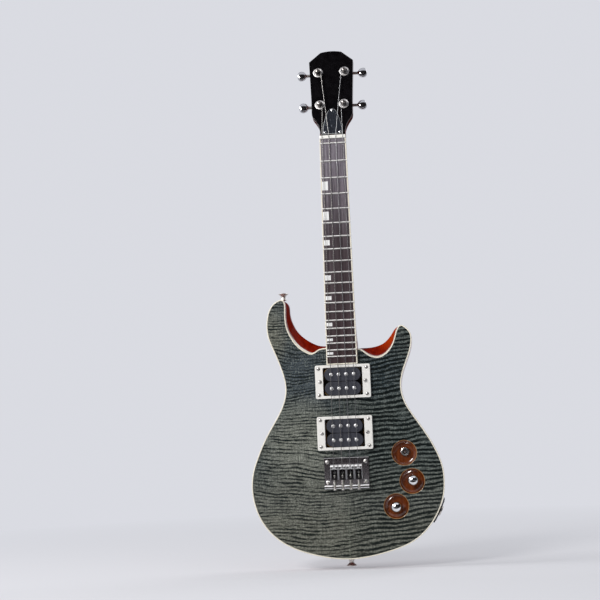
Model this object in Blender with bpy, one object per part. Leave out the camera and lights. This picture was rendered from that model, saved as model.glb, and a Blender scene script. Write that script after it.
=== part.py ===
"""Solid-body electric tenor ukulele, as an assembly of separate pieces.

Metres, +Z up along the neck, the front faces -Y and +X is the right side as seen from the front.
The origin is on the flat back of the body, on the centreline, level with the saddles.
"""

import math

import bmesh
import bpy
import numpy as np
from mathutils import Matrix, Vector

# Strings and fingerboard
SCALE_LENGTH = 0.432
FRET_COUNT = 19
STRING_SPACING_NUT = 0.00927
STRING_SPACING_BRIDGE = 0.01065
STRING_DIAMETERS = (0.0008, 0.0010, 0.0009, 0.0007)
STRING_HEIGHT_BRIDGE = 0.0110
BOARD_THICKNESS = 0.006
BOARD_TONGUE = 0.01076
NUT_WIDTH = 0.0356
BOARD_END_WIDTH = 0.0415
BOARD_BINDING = 0.0016
NUT_LENGTH = 0.0046
NUT_OFFSET = 0.0063
NUT_HEIGHT = 0.0082
FRET_CROWN_WIDTH = 0.0020
FRET_CROWN_HEIGHT = 0.0011
FRET_TANG_WIDTH = 0.0006
FRET_TANG_DEPTH = 0.0018

# Body
BODY_THICKNESS = 0.038
CAP_THICKNESS = 0.006
BINDING_WIDTH = 0.0016
SCOOP_DEPTH = 0.019
SCOOP_POWER = 1.5
BACK_ROUND = 0.005

# Neck and headstock
NECK_DEPTH = 0.0135
HEEL_DEPTH = 0.028
HEEL_TOP_Z = 0.1615
HEEL_SWEEP = 0.034
POCKET_OPEN_Z = HEEL_TOP_Z + 0.0135
HEADSTOCK_ANGLE = math.radians(12)
HEADSTOCK_THICKNESS = 0.0125
FACE_THICKNESS = 0.0015
TRUSS_SLOT_WIDTH = 0.006
TRUSS_SLOT_DEPTH = 0.008
TRUSS_ROD_DIAMETER = 0.005
COVER_THICKNESS = 0.0012
COVER_LENGTH = 0.0395

# Pickups
RING_WIDTH = 0.0734
RING_LENGTH = 0.0446
RING_WINDOW_WIDTH = 0.0524
RING_WINDOW_LENGTH = 0.0372
RING_HEIGHT_NECK = 0.005
RING_HEIGHT_BRIDGE = 0.0065
BRIDGE_PICKUP_Z = 0.0425
BOBBIN_LENGTH = 0.048
BOBBIN_WIDTH = 0.018
BOBBIN_HEIGHT = 0.011
BOBBIN_FLANGE = 0.0015
POLE_ROW_SPACING = 0.0186
POLE_SPACING = 0.010
POLE_HEAD_DIAMETER = 0.0049
POLE_HEAD_HEIGHT = 0.001
POLE_SHANK_DIAMETER = 0.0025
BOBBIN_TOP_NECK = 0.0067
BOBBIN_TOP_BRIDGE = 0.0075
MAGNET_THICKNESS = 0.003
BASEPLATE_THICKNESS = 0.0012
PICKUP_CAVITY_DEPTH = 0.021
BASEPLATE_EAR = 0.0025
BASEPLATE_EAR_WIDTH = 0.009
RING_SCREW_INSET = 0.0047
# Places across the ring's side, as shares from the window to the outer edge
RING_SCREW_SHARE = 0.552
HEIGHT_SCREW_SHARE = 0.390
HEIGHT_SCREW_DIAMETER = 0.0022

# Bridge
BRIDGE_WIDTH = 0.059
BRIDGE_TOP_Z = 0.0106
BRIDGE_LENGTH = 0.0415
BRIDGE_PLATE_THICKNESS = 0.0022
BRIDGE_BAR_DEPTH = 0.0053
BRIDGE_BAR_HEIGHT = 0.0088
SADDLE_WIDTH = 0.0100
SADDLE_FRONT_Z = 0.0011
SADDLE_LENGTH = 0.020
SADDLE_LIFT = 0.0010
SADDLE_SLOT_WIDTH = 0.0030
INTONATION_TRAVEL = 0.003
INTONATION_SCREW_DIAMETER = 0.0024
INTONATION_HEAD_DIAMETER = 0.0052
STRING_HOLE_DIAMETER = 0.0034
STRING_HOLE_Z = -0.0095
BALL_END_DIAMETER = 0.0044
BALL_END_LENGTH = 0.0034
BALL_SEAT_DEPTH = 0.0060
BRIDGE_SCREW_DIAMETER = 0.0030
BRIDGE_SCREW_INSET_X = 0.0041
BRIDGE_SCREW_TOP = 0.0060
BRIDGE_SCREW_SPACING_Z = 0.0268
BRIDGE_SCREW_LENGTH = 0.014
BRIDGE_PILOT_DEPTH = 0.018

# Controls
BOWL_DIAMETER = 0.032
BOWL_DEPTH = 0.0088
CAVITY_MARGIN = 0.0115
CAVITY_DEPTH = 0.025
COVER_LIP = 0.005
COVER_PLATE_THICKNESS = 0.0018
POT_DIAMETER = 0.0165
POT_HEIGHT = 0.0080
BUSHING_DIAMETER = 0.0080
SHAFT_DIAMETER = 0.0060
KNOB_DIAMETER = 0.0150
KNOB_HEIGHT = 0.0135
TOGGLE_NUT_DIAMETER = 0.0120
TOGGLE_BORE = 0.0064
TOGGLE_LEVER_DIAMETER = 0.0030
TOGGLE_PIVOT_DEPTH = 0.0052

# Jack
JACK_PLATE_LENGTH = 0.034
JACK_PLATE_HEIGHT = 0.026
JACK_PLATE_THICKNESS = 0.0015
JACK_BARREL_DIAMETER = 0.0112
JACK_BORE_DIAMETER = 0.0072
JACK_BARREL_LENGTH = 0.0125
JACK_NUT_DIAMETER = 0.0150
JACK_NUT_HEIGHT = 0.0022
JACK_HOLE_DIAMETER = 0.0200
JACK_HOLE_DEPTH = 0.036

# Tuners
POST_DIAMETER = 0.0060
POST_HEIGHT = 0.0088
TUNER_HOLE_DIAMETER = 0.0092
TUNER_WASHER_DIAMETER = 0.0138
WORM_WHEEL_DIAMETER = 0.0070
WORM_DIAMETER = 0.0027
WORM_WHEEL_THICKNESS = 0.0026
HOUSING_WIDTH = 0.0130
HOUSING_LENGTH = 0.0185
HOUSING_DEPTH = 0.0090
HOUSING_PEG_X = 0.0042
HOUSING_PEG_H = 0.0044
BUTTON_CENTRE_REACH = 0.0238
BUTTON_WIDTH = 0.0124
BUTTON_LENGTH = 0.0140
BUTTON_THICKNESS = 0.0070
BUTTON_STEM_DIAMETER = 0.0036

# Strap buttons
STRAP_BUTTON_HEIGHT = 0.0098
STRAP_BUTTON_FLANGE = 0.0138
STRAP_BUTTON_BASE = 0.0084
STRAP_SCREW_DIAMETER = 0.0030
STRAP_SCREW_LENGTH = 0.018
HORN_BUTTON_X = -0.0778

# Screws
SMALL_SCREW_DIAMETER = 0.0018
SMALL_HEAD_DIAMETER = 0.0038
SMALL_HEAD_HEIGHT = 0.0009
PILOT_DIAMETER = 0.0024
HEAD_SINK = 0.0002

# Clearances between pieces that touch
GAP = 0.0003
RUNNING_GAP = 0.0003

# Outline stations: left and right edge of the body from the bottom, x and z.
# A station of four values is in a cutaway: the full edge behind, then the edge of the top.
OUTLINE = [
    (0.0000, -0.1236), (-0.0490, -0.1166), (-0.0893, -0.0996), (-0.1140, -0.0746),
    (-0.1262, -0.0430), (-0.1264, -0.0100), (-0.1185, 0.0145), (-0.1035, 0.0452),
    (-0.0862, 0.0740), (-0.0778, 0.1015), (-0.0826, 0.1295), (-0.0925, 0.1562),
    (-0.0994, 0.1771), (-0.0998, 0.1945), (-0.0955, 0.2111), (-0.0880, 0.2203),
    (-0.0790, 0.2238),
    (-0.0732, 0.2205, -0.0750, 0.2212), (-0.0708, 0.2080, -0.0739, 0.2080),
    (-0.0672, 0.1930, -0.0737, 0.1930), (-0.0600, 0.1805, -0.0700, 0.1785),
    (-0.0492, 0.1701, -0.0590, 0.1608), (-0.0390, 0.1638, -0.0470, 0.1518),
    (-0.0318, 0.1608, -0.0385, 0.1503), (-0.0264, 0.1599, -0.0310, 0.1549),
    (-0.0208, 0.1596, -0.0208, 0.1562),
    (0.0208, 0.1551, 0.0208, 0.1538), (0.0290, 0.1550, 0.0272, 0.1517),
    (0.0372, 0.1552, 0.0340, 0.1462), (0.0454, 0.1565, 0.0430, 0.1419),
    (0.0549, 0.1601, 0.0545, 0.1437), (0.0624, 0.1665, 0.0637, 0.1520),
    (0.0679, 0.1740, 0.0697, 0.1636), (0.0722, 0.1797, 0.0733, 0.1750),
    (0.0785, 0.1824), (0.0868, 0.1790), (0.0921, 0.1722), (0.0932, 0.1600),
    (0.0896, 0.1450), (0.0826, 0.1272), (0.0769, 0.1030), (0.0820, 0.0790),
    (0.0945, 0.0580), (0.1092, 0.0350), (0.1205, 0.0130), (0.1272, -0.0080),
    (0.1284, -0.0250), (0.1262, -0.0450), (0.1190, -0.0640), (0.1035, -0.0870),
    (0.0845, -0.1026), (0.0550, -0.1143),
]
OUTLINE_STEP = 0.0125

# Headstock half outline: half width, distance from the nut along the face.
HEADSTOCK_OUTLINE = [
    (0.0167, 0.0012), (0.0172, 0.0110), (0.0275, 0.0335), (0.0281, 0.0530),
    (0.0303, 0.1110), (0.0144, 0.1245),
]
HEADSTOCK_TOP = 0.1262
POSTS = ((-0.0181, 0.0940), (-0.0164, 0.0457), (0.0164, 0.0457), (0.0181, 0.0940))

# Controls: the bowl's centre and the control's own centre, x and z.
TOGGLE_BOWL = (0.0769, 0.0134)
TOGGLE_CENTRE = (0.0778, 0.0148)
VOLUME_BOWL = (0.0858, -0.0239)
VOLUME_CENTRE = (0.0870, -0.0230)
TONE_BOWL = (0.0635, -0.0561)
TONE_CENTRE = (0.0634, -0.0572)
JACK_CENTRE = (0.1195, -0.0635)

# Planes that pieces share
TOP_Y = -BODY_THICKNESS
CORE_FRONT_Y = -(BODY_THICKNESS - CAP_THICKNESS)
SEAT_Y = TOP_Y - GAP
BOARD_TOP_Y = SEAT_Y - BOARD_THICKNESS
FRET_TOP_Y = BOARD_TOP_Y - GAP - FRET_CROWN_HEIGHT
NUT_BACK_Z = SCALE_LENGTH + NUT_OFFSET
NUT_FRONT_Z = NUT_BACK_Z + NUT_LENGTH
BOARD_END_Z = SCALE_LENGTH * 2 ** (-FRET_COUNT / 12) - BOARD_TONGUE
NECK_PICKUP_Z = BOARD_END_Z - GAP - RING_LENGTH / 2
POCKET_END_Z = BOARD_END_Z + 0.0005
BOWL_FLOOR_Y = TOP_Y + BOWL_DEPTH
CEILING_Y = -CAVITY_DEPTH
WORM_OFFSET = (WORM_WHEEL_DIAMETER + WORM_DIAMETER) / 2 + RUNNING_GAP
STRING_COUNT = len(STRING_DIAMETERS)


def clear_scene():
    for item in list(bpy.data.objects):
        bpy.data.objects.remove(item, do_unlink=True)


def make_material(name, colour, roughness, metallic):
    material = bpy.data.materials.new(name)
    material.use_nodes = True
    shader = material.node_tree.nodes["Principled BSDF"]
    shader.inputs["Base Color"].default_value = (*colour, 1.0)
    shader.inputs["Roughness"].default_value = roughness
    shader.inputs["Metallic"].default_value = metallic
    return material


def finishes():
    table = {
        "mahogany": ((0.30, 0.055, 0.018), 0.16, 0.0),
        "stained_maple": ((0.085, 0.105, 0.095), 0.12, 0.0),
        "cream": ((0.83, 0.76, 0.60), 0.3, 0.0),
        "ivory": ((0.83, 0.81, 0.74), 0.35, 0.0),
        "rosewood": ((0.075, 0.038, 0.035), 0.5, 0.0),
        "black_gloss": ((0.006, 0.006, 0.007), 0.08, 0.0),
        "black_satin": ((0.035, 0.035, 0.042), 0.35, 0.0),
        "pearl": ((0.80, 0.80, 0.78), 0.2, 0.0),
        "chrome": ((0.75, 0.75, 0.76), 0.08, 1.0),
        "nickel": ((0.66, 0.63, 0.60), 0.2, 1.0),
        "steel": ((0.55, 0.55, 0.56), 0.3, 1.0),
        "brass": ((0.72, 0.52, 0.22), 0.3, 1.0),
        "copper": ((0.60, 0.25, 0.10), 0.4, 1.0),
        "rubber": ((0.03, 0.03, 0.03), 0.7, 0.0),
    }
    return {name: make_material(name, *values) for name, values in table.items()}


def add_piece(name, bm, material, origin=None, parent=None):
    """Makes an object of a mesh; its origin goes to the given point of the same space."""
    bmesh.ops.recalc_face_normals(bm, faces=bm.faces)
    mesh = bpy.data.meshes.new(name)
    if origin is not None:
        bmesh.ops.translate(bm, vec=-Vector(origin), verts=bm.verts)
    bm.to_mesh(mesh)
    bm.free()
    mesh.materials.append(material)
    mesh.shade_smooth()
    mesh.set_sharp_from_angle(angle=math.radians(35))
    piece = bpy.data.objects.new(name, mesh)
    if origin is not None:
        piece.location = origin
    piece.parent = parent
    bpy.context.scene.collection.objects.link(piece)
    return piece


def boolean(piece, name, bm, operation="DIFFERENCE", parent=None):
    """Cuts a piece with, or joins it to, another closed mesh."""
    bmesh.ops.recalc_face_normals(bm, faces=bm.faces)
    mesh = bpy.data.meshes.new(name)
    bm.to_mesh(mesh)
    bm.free()
    cutter = bpy.data.objects.new(name, mesh)
    cutter.display_type = "WIRE"
    cutter.hide_render = True
    cutter.parent = parent
    bpy.context.scene.collection.objects.link(cutter)
    modifier = piece.modifiers.new(name, "BOOLEAN")
    modifier.operation = operation
    modifier.solver = "EXACT"
    modifier.object = cutter


def fuse(piece, name, *meshes, parent=None):
    """Adds bodies that overlap the piece to it, one union for the whole set."""
    boolean(piece, name, join(*meshes), operation="UNION", parent=parent)


def join(*meshes):
    """Puts several meshes into the first one, as separate bodies."""
    target = meshes[0]
    for other in meshes[1:]:
        scratch = bpy.data.meshes.new("scratch")
        other.to_mesh(scratch)
        other.free()
        target.from_mesh(scratch)
        bpy.data.meshes.remove(scratch)
    return target


def loft(rings):
    """Closed body through rings of equal length, with flat ends."""
    bm = bmesh.new()
    loops = [[bm.verts.new(point) for point in ring] for ring in rings]
    count = len(loops[0])
    for low, high in zip(loops, loops[1:]):
        for i in range(count):
            j = (i + 1) % count
            bm.faces.new((low[i], low[j], high[j], high[i]))
    bm.faces.new(loops[0])
    bm.faces.new(loops[-1])
    return bm


def band(rings):
    """Closed ring-shaped body: the last ring joins the first."""
    bm = bmesh.new()
    loops = [[bm.verts.new(point) for point in ring] for ring in rings]
    count = len(loops[0])
    for low, high in zip(loops, loops[1:] + loops[:1]):
        for i in range(count):
            j = (i + 1) % count
            bm.faces.new((low[i], low[j], high[j], high[i]))
    return bm


def plate(outline, y_low, y_high):
    """Extrudes an outline of x and z along Y."""
    return loft([[(x, y, z) for x, z in outline] for y in (y_low, y_high)])


def frame_plate(outer, inner, y_low, y_high):
    """A flat plate with a window; both outlines have as many points."""
    return band([
        [(x, y_low, z) for x, z in outer], [(x, y_high, z) for x, z in outer],
        [(x, y_high, z) for x, z in inner], [(x, y_low, z) for x, z in inner],
    ])


def box(x_range, y_range, z_range):
    outline = [(x_range[0], z_range[0]), (x_range[1], z_range[0]),
               (x_range[1], z_range[1]), (x_range[0], z_range[1])]
    return plate(outline, *y_range)


def axis_matrix(centre, direction):
    """Turns +Z to a direction and moves the origin to a centre."""
    turn = Vector((0, 0, 1)).rotation_difference(Vector(direction).normalized())
    return Matrix.Translation(Vector(centre)) @ turn.to_matrix().to_4x4()


def turned(profile, centre, direction, sides=12, hollow=False):
    """Turns a profile of radius and height about an axis."""
    rings = []
    for radius, height in profile:
        rings.append([
            (radius * math.cos(2 * math.pi * i / sides),
             radius * math.sin(2 * math.pi * i / sides), height) for i in range(sides)
        ])
    bm = band(rings) if hollow else loft(rings)
    bmesh.ops.transform(bm, matrix=axis_matrix(centre, direction), verts=bm.verts)
    return bm


def rod(centre, direction, radius, low, high, sides=8):
    return turned([(radius, low), (radius, high)], centre, direction, sides)


def screw(seat, direction, head_radius, head_height, shank_radius, length, sink=HEAD_SINK):
    """A screw with its head on a seat and its shank pointing backwards, into the seat."""
    profile = [
        (shank_radius * 0.5, -length), (shank_radius, -length + shank_radius),
        (shank_radius, -sink), (head_radius, -sink), (head_radius, head_height * 0.5),
        (head_radius * 0.62, head_height),
    ]
    return turned(profile, seat, direction, 6)


def tube(points, radius, sides=6):
    """A round tube along points, with a frame carried from point to point."""
    path = [Vector(point) for point in points]
    rings = []
    side = None
    for i, point in enumerate(path):
        before = path[max(i - 1, 0)]
        after = path[min(i + 1, len(path) - 1)]
        tangent = (after - before).normalized()
        if side is None:
            side = tangent.orthogonal().normalized()
        side = (side - tangent * side.dot(tangent)).normalized()
        other = tangent.cross(side)
        rings.append([
            point + radius * (side * math.cos(2 * math.pi * k / sides)
                              + other * math.sin(2 * math.pi * k / sides))
            for k in range(sides)
        ])
    return loft(rings)


def stadium(length, width, centre, arc=5):
    """Outline with two straight sides and round ends, x and z."""
    points = []
    radius = width / 2
    half = length / 2 - radius
    for sign in (1, -1):
        for i in range(arc):
            angle = sign * math.pi / 2 - sign * math.pi * i / (arc - 1)
            points.append((centre[0] + sign * half + sign * radius * math.cos(angle),
                           centre[1] + sign * radius * math.sin(sign * angle)))
    return points


def rounded_rectangle(width, length, radius, centre, arc=3):
    points = []
    for sx, sz, start in ((1, 1, 0), (-1, 1, 90), (-1, -1, 180), (1, -1, 270)):
        corner = (centre[0] + sx * (width / 2 - radius), centre[1] + sz * (length / 2 - radius))
        for i in range(arc):
            angle = math.radians(start + 90 * i / (arc - 1))
            points.append((corner[0] + radius * math.cos(angle),
                           corner[1] + radius * math.sin(angle)))
    return points


def hull_of_circles(centres, radius, sides=16):
    """Convex outline round circles of one radius."""
    points = sorted(
        (cx + radius * math.cos(2 * math.pi * i / sides),
         cz + radius * math.sin(2 * math.pi * i / sides))
        for cx, cz in centres for i in range(sides)
    )

    def half(sequence):
        chain = []
        for point in sequence:
            while len(chain) > 1:
                ax, az = chain[-2]
                bx, bz = chain[-1]
                if (bx - ax) * (point[1] - az) - (bz - az) * (point[0] - ax) > 1e-12:
                    break
                chain.pop()
            chain.append(point)
        return chain[:-1]

    return half(points) + half(points[::-1])


def closed_spline(knots, values):
    """Second derivatives of a closed cubic spline through the values."""
    count = len(values)
    step = np.diff(np.append(knots[:-1], knots[-1]))
    matrix = np.zeros((count, count))
    right = np.zeros((count, values.shape[1]))
    for i in range(count):
        before, after = step[i - 1], step[i]
        matrix[i, i - 1] += before
        matrix[i, i] += 2 * (before + after)
        matrix[i, (i + 1) % count] += after
        slope_after = (values[(i + 1) % count] - values[i]) / after
        slope_before = (values[i] - values[i - 1]) / before
        right[i] = 6 * (slope_after - slope_before)
    return step, np.linalg.solve(matrix, right)


def body_outlines():
    """Samples the full edge and the edge of the top at matching points."""
    full = np.array([station[:2] for station in OUTLINE])
    top = np.array([station[-2:] for station in OUTLINE])
    lengths = np.linalg.norm(np.roll(full, -1, axis=0) - full, axis=1)
    knots = np.concatenate([[0.0], np.cumsum(lengths)])
    values = np.hstack([full, top])
    step, bend = closed_spline(knots, values)
    samples = []
    for i in range(len(values)):
        j = (i + 1) % len(values)
        pieces = max(1, math.ceil(step[i] / OUTLINE_STEP))
        for k in range(pieces):
            b = k / pieces
            a = 1 - b
            curve = (a ** 3 - a) * bend[i] + (b ** 3 - b) * bend[j]
            samples.append(a * values[i] + b * values[j] + curve * step[i] ** 2 / 6)
    samples = np.array(samples)
    return samples[:, :2], samples[:, 2:]


def inward_normals(loop):
    """Unit normals pointing into a loop that runs clockwise as seen from the front."""
    along = np.roll(loop, -1, axis=0) - np.roll(loop, 1, axis=0)
    along /= np.linalg.norm(along, axis=1)[:, None]
    return np.stack([along[:, 1], -along[:, 0]], axis=1)


def inset(loop, distance):
    """Moves a loop inwards by one distance or by one distance a point."""
    return loop + inward_normals(loop) * np.reshape(distance, (-1, 1))


def edge_radius(loop):
    """Radius of the loop's own bend at each point, evened out along the loop."""
    before = loop - np.roll(loop, 1, axis=0)
    after = np.roll(loop, -1, axis=0) - loop
    turn = np.abs(before[:, 0] * after[:, 1] - before[:, 1] * after[:, 0])
    size = np.linalg.norm(before, axis=1) * np.linalg.norm(after, axis=1)
    step = (np.linalg.norm(before, axis=1) + np.linalg.norm(after, axis=1)) / 2
    radius = step / np.maximum(turn / size, 1e-3)
    for _ in range(3):
        radius = np.minimum(radius, (np.roll(radius, 1) + np.roll(radius, -1)) / 2)
    return radius


def edge_at(full, top, depth):
    """Body edge at a depth below the top: the scoop curves out to the full edge."""
    share = min(depth / SCOOP_DEPTH, 1.0) ** SCOOP_POWER
    return top + (full - top) * share


def ring_at(loop, y):
    return [(x, y, z) for x, z in loop]


def half_board(z):
    """Half width of the fingerboard at a height."""
    share = (NUT_FRONT_Z - z) / (NUT_FRONT_Z - BOARD_END_Z)
    return (NUT_WIDTH + (BOARD_END_WIDTH - NUT_WIDTH) * share) / 2


def string_x(index, z):
    """Sideways place of a string, from the saddle line at z = 0 to the nut."""
    spacing = STRING_SPACING_BRIDGE
    spacing += (STRING_SPACING_NUT - STRING_SPACING_BRIDGE) * z / NUT_BACK_Z
    return (index - (STRING_COUNT - 1) / 2) * spacing


def fret_z(number):
    return SCALE_LENGTH * 2 ** (-number / 12)


def ring_side_x(share):
    """Sideways place on the ring's side, from the window's edge to the outer edge."""
    return RING_WINDOW_WIDTH / 2 + (RING_WIDTH - RING_WINDOW_WIDTH) / 2 * share


def height_screw_x():
    return ring_side_x(HEIGHT_SCREW_SHARE)


def ring_corners(centre_z):
    x, z = ring_side_x(RING_SCREW_SHARE), RING_LENGTH / 2 - RING_SCREW_INSET
    return [(sx * x, centre_z + sz * z) for sx in (-1, 1) for sz in (-1, 1)]


def pickup_cavity(centre_z, y_front):
    """Hollow for one pickup: its outline with tabs for the height screws."""
    wide = RING_WINDOW_WIDTH + 0.0020
    tall = RING_WINDOW_LENGTH + 0.0010
    tab = 2 * (height_screw_x() + BASEPLATE_EAR + 2 * GAP)
    tab_tall = BASEPLATE_EAR_WIDTH + 0.004
    outline = [
        (-wide / 2, -tall / 2), (wide / 2, -tall / 2), (wide / 2, -tab_tall / 2),
        (tab / 2, -tab_tall / 2), (tab / 2, tab_tall / 2), (wide / 2, tab_tall / 2),
        (wide / 2, tall / 2), (-wide / 2, tall / 2), (-wide / 2, tab_tall / 2),
        (-tab / 2, tab_tall / 2), (-tab / 2, -tab_tall / 2), (-wide / 2, -tab_tall / 2),
    ]
    return plate([(x, z + centre_z) for x, z in outline], y_front, TOP_Y + PICKUP_CAVITY_DEPTH)


def neck_pocket():
    half = half_board(BOARD_END_Z) + GAP
    return box((-half, half), (TOP_Y - 0.01, TOP_Y + HEEL_DEPTH + GAP),
               (POCKET_END_Z - GAP, POCKET_OPEN_Z))


def string_holes(y_low, y_high):
    """The strings' way through the body, one hole each."""
    return [rod((string_x(i, 0), 0, STRING_HOLE_Z), (0, 1, 0), STRING_HOLE_DIAMETER / 2,
                y_low, y_high) for i in range(STRING_COUNT)]


def bridge_screw_places():
    x = BRIDGE_WIDTH / 2 - BRIDGE_SCREW_INSET_X
    high = BRIDGE_TOP_Z - BRIDGE_SCREW_TOP
    return [(sx * x, z) for sx in (-1, 1) for z in (high, high - BRIDGE_SCREW_SPACING_Z)]


def ring_screw_places():
    places = []
    for centre_z in (NECK_PICKUP_Z, BRIDGE_PICKUP_Z):
        places += ring_corners(centre_z)
    return places


def control_centres():
    return [TOGGLE_CENTRE, VOLUME_CENTRE, TONE_CENTRE]


def cover_screw_places():
    """One screw beyond each end control, and one on each long side between them."""
    outline = hull_of_circles(control_centres(), CAVITY_MARGIN + COVER_LIP / 2, 16)
    picks = (0, len(outline) // 4, len(outline) // 2, 3 * len(outline) // 4)
    return [outline[i] for i in picks]


def jack_direction():
    """Outward direction of the body's side at the jack."""
    full, _ = body_outlines()
    nearest = int(np.argmin(np.linalg.norm(full - np.array(JACK_CENTRE), axis=1)))
    normal = -inward_normals(full)[nearest]
    return full[nearest], normal


def build_body(finish):
    full, top = body_outlines()
    depths = [CAP_THICKNESS + share * (SCOOP_DEPTH - CAP_THICKNESS)
              for share in (0.0, 0.22, 0.45, 0.7, 1.0)]
    rings = [ring_at(edge_at(full, top, depth), TOP_Y + depth) for depth in depths]
    rounding = np.minimum(BACK_ROUND, 0.5 * edge_radius(full))
    rings.append(ring_at(full, -BACK_ROUND))
    for angle in (35, 65, 90):
        turn = math.radians(angle)
        loop = inset(full, rounding * (1 - math.cos(turn)))
        rings.append(ring_at(loop, -BACK_ROUND * (1 - math.sin(turn))))
    core = add_piece("body_core", loft(rings), finish["mahogany"])

    cavity = hull_of_circles(control_centres(), CAVITY_MARGIN)
    pockets = join(
        neck_pocket(), pickup_cavity(NECK_PICKUP_Z, TOP_Y - 0.01),
        pickup_cavity(BRIDGE_PICKUP_Z, TOP_Y - 0.01),
        plate(cavity, CEILING_Y, 0.01),
    )
    boolean(core, "core_pockets", pockets)

    edge, normal = jack_direction()
    outward = (normal[0], 0, normal[1])
    jack_point = (edge[0], -BODY_THICKNESS / 2, edge[1])
    lip = hull_of_circles(control_centres(), CAVITY_MARGIN + COVER_LIP)
    openings = [plate(lip, -(COVER_PLATE_THICKNESS + 2 * GAP), 0.01)]
    openings.append(rod(jack_point, outward, JACK_HOLE_DIAMETER / 2, -JACK_HOLE_DEPTH,
                        JACK_HOLE_DIAMETER, 16))
    openings += string_holes(CORE_FRONT_Y - 0.01, -BALL_SEAT_DEPTH / 2)
    for x, z in bridge_screw_places():
        openings.append(rod((x, 0, z), (0, 1, 0), BRIDGE_SCREW_DIAMETER / 2 + GAP,
                            CORE_FRONT_Y - 0.01, TOP_Y + BRIDGE_PILOT_DEPTH))
    for bowl in (TOGGLE_BOWL, VOLUME_BOWL, TONE_BOWL):
        openings.append(bowl_cutter(bowl))
    boolean(core, "core_openings", join(*openings))

    holes = []
    for x, z in control_centres():
        holes.append(rod((x, 0, z), (0, 1, 0), (BUSHING_DIAMETER + 2 * GAP) / 2,
                         BOWL_FLOOR_Y - 0.005, CEILING_Y + 0.004, 12))
    for i in range(STRING_COUNT):
        holes.append(rod((string_x(i, 0), 0, STRING_HOLE_Z), (0, 1, 0),
                         BALL_END_DIAMETER / 2 + GAP, -BALL_SEAT_DEPTH, 0.01, 12))
    holes += wire_channels()
    for x, z in cover_screw_places():
        holes.append(rod((x, 0, z), (0, 1, 0), PILOT_DIAMETER / 2, -0.010, 0.0, 6))
    for centre, direction in strap_places():
        holes.append(rod(centre, direction, STRAP_SCREW_DIAMETER / 2 + GAP,
                         -STRAP_SCREW_LENGTH - 0.002, 0.004, 6))
    for foot, direction in jack_screw_places():
        holes.append(rod(foot, direction, PILOT_DIAMETER / 2, -0.0080, 0.004, 6))
    boolean(core, "core_holes", join(*holes))

    inner = inset(top, BINDING_WIDTH + GAP)
    cap = add_piece("maple_top", plate(inner, TOP_Y, CORE_FRONT_Y - GAP),
                    finish["stained_maple"])
    openings = [neck_pocket(), pickup_cavity(NECK_PICKUP_Z, TOP_Y - 0.01),
                pickup_cavity(BRIDGE_PICKUP_Z, TOP_Y - 0.01)]
    openings += string_holes(TOP_Y - 0.01, CORE_FRONT_Y + 0.01)
    for bowl in (TOGGLE_BOWL, VOLUME_BOWL, TONE_BOWL):
        openings.append(rod((bowl[0], 0, bowl[1]), (0, 1, 0), BOWL_DIAMETER / 2,
                            TOP_Y - 0.01, CORE_FRONT_Y + 0.01, 24))
    for x, z in bridge_screw_places():
        openings.append(rod((x, 0, z), (0, 1, 0), BRIDGE_SCREW_DIAMETER / 2 + GAP,
                            TOP_Y - 0.01, CORE_FRONT_Y + 0.01))
    for x, z in ring_screw_places():
        openings.append(rod((x, 0, z), (0, 1, 0), PILOT_DIAMETER / 2, TOP_Y - 0.01,
                            CORE_FRONT_Y + 0.01))
    boolean(cap, "cap_openings", join(*openings))

    levels = (0.0, (CAP_THICKNESS - GAP) / 2, CAP_THICKNESS - GAP)
    rings = [ring_at(edge_at(full, top, depth), TOP_Y + depth) for depth in levels]
    inner = inset(top, BINDING_WIDTH)
    rings += [ring_at(inner, TOP_Y + levels[-1]), ring_at(inner, TOP_Y)]
    binding = add_piece("body_binding", band(rings), finish["cream"])
    boolean(binding, "binding_pocket", neck_pocket())


def bowl_cutter(bowl):
    """The dished mahogany floor of a bowl, below the hole in the cap."""
    radius = BOWL_DIAMETER / 2
    floor = -BOWL_FLOOR_Y
    front = -CORE_FRONT_Y
    deep = front - floor
    profile = [(radius * 0.62, floor), (radius * 0.80, floor + deep * 0.16),
               (radius * 0.94, floor + deep * 0.5), (radius, front), (radius, front + 0.01)]
    return turned(profile, (bowl[0], 0, bowl[1]), (0, -1, 0), 24)


def wire_channels():
    """Slanted drillings between the pickup cavities and the control cavity."""
    y = TOP_Y + PICKUP_CAVITY_DEPTH - 0.004
    start = Vector((0.012, y, NECK_PICKUP_Z - RING_WINDOW_LENGTH / 2 + 0.004))
    middle = Vector((0.012, y, BRIDGE_PICKUP_Z + RING_WINDOW_LENGTH / 2 - 0.004))
    exit_low = Vector((RING_WINDOW_WIDTH / 2 - 0.004, y, BRIDGE_PICKUP_Z - 0.010))
    end = Vector((TOGGLE_CENTRE[0] - 0.004, y, TOGGLE_CENTRE[1] - 0.002))
    channels = []
    for low, high in ((start, middle), (exit_low, end)):
        direction = high - low
        channels.append(rod(low, direction, 0.0025, 0.0, direction.length, 8))
    return channels


def strap_places():
    """Where the two strap buttons stand: the edge of the body and the outward direction."""
    full, _ = body_outlines()
    y = -BODY_THICKNESS / 2
    bottom = min(full[:, 1])
    near = full[np.abs(full[:, 0] - HORN_BUTTON_X) < STRAP_BUTTON_BASE / 2]
    horn = max(near[:, 1])
    return [((0.0, y, bottom), (0, 0, -1)), ((HORN_BUTTON_X, y, horn), (0, 0, 1))]


def neck_section(half, front, depth, z, power=2.0):
    """A D-shaped section: flat front, round back; a high power squares it off."""
    points = []
    count = 12
    for i in range(count + 1):
        angle = math.pi * i / count
        c, s = math.cos(angle), math.sin(angle)
        points.append((half * math.copysign(abs(c) ** (2 / power), c),
                       front + depth * s ** (2 / power), z))
    return points


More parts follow.
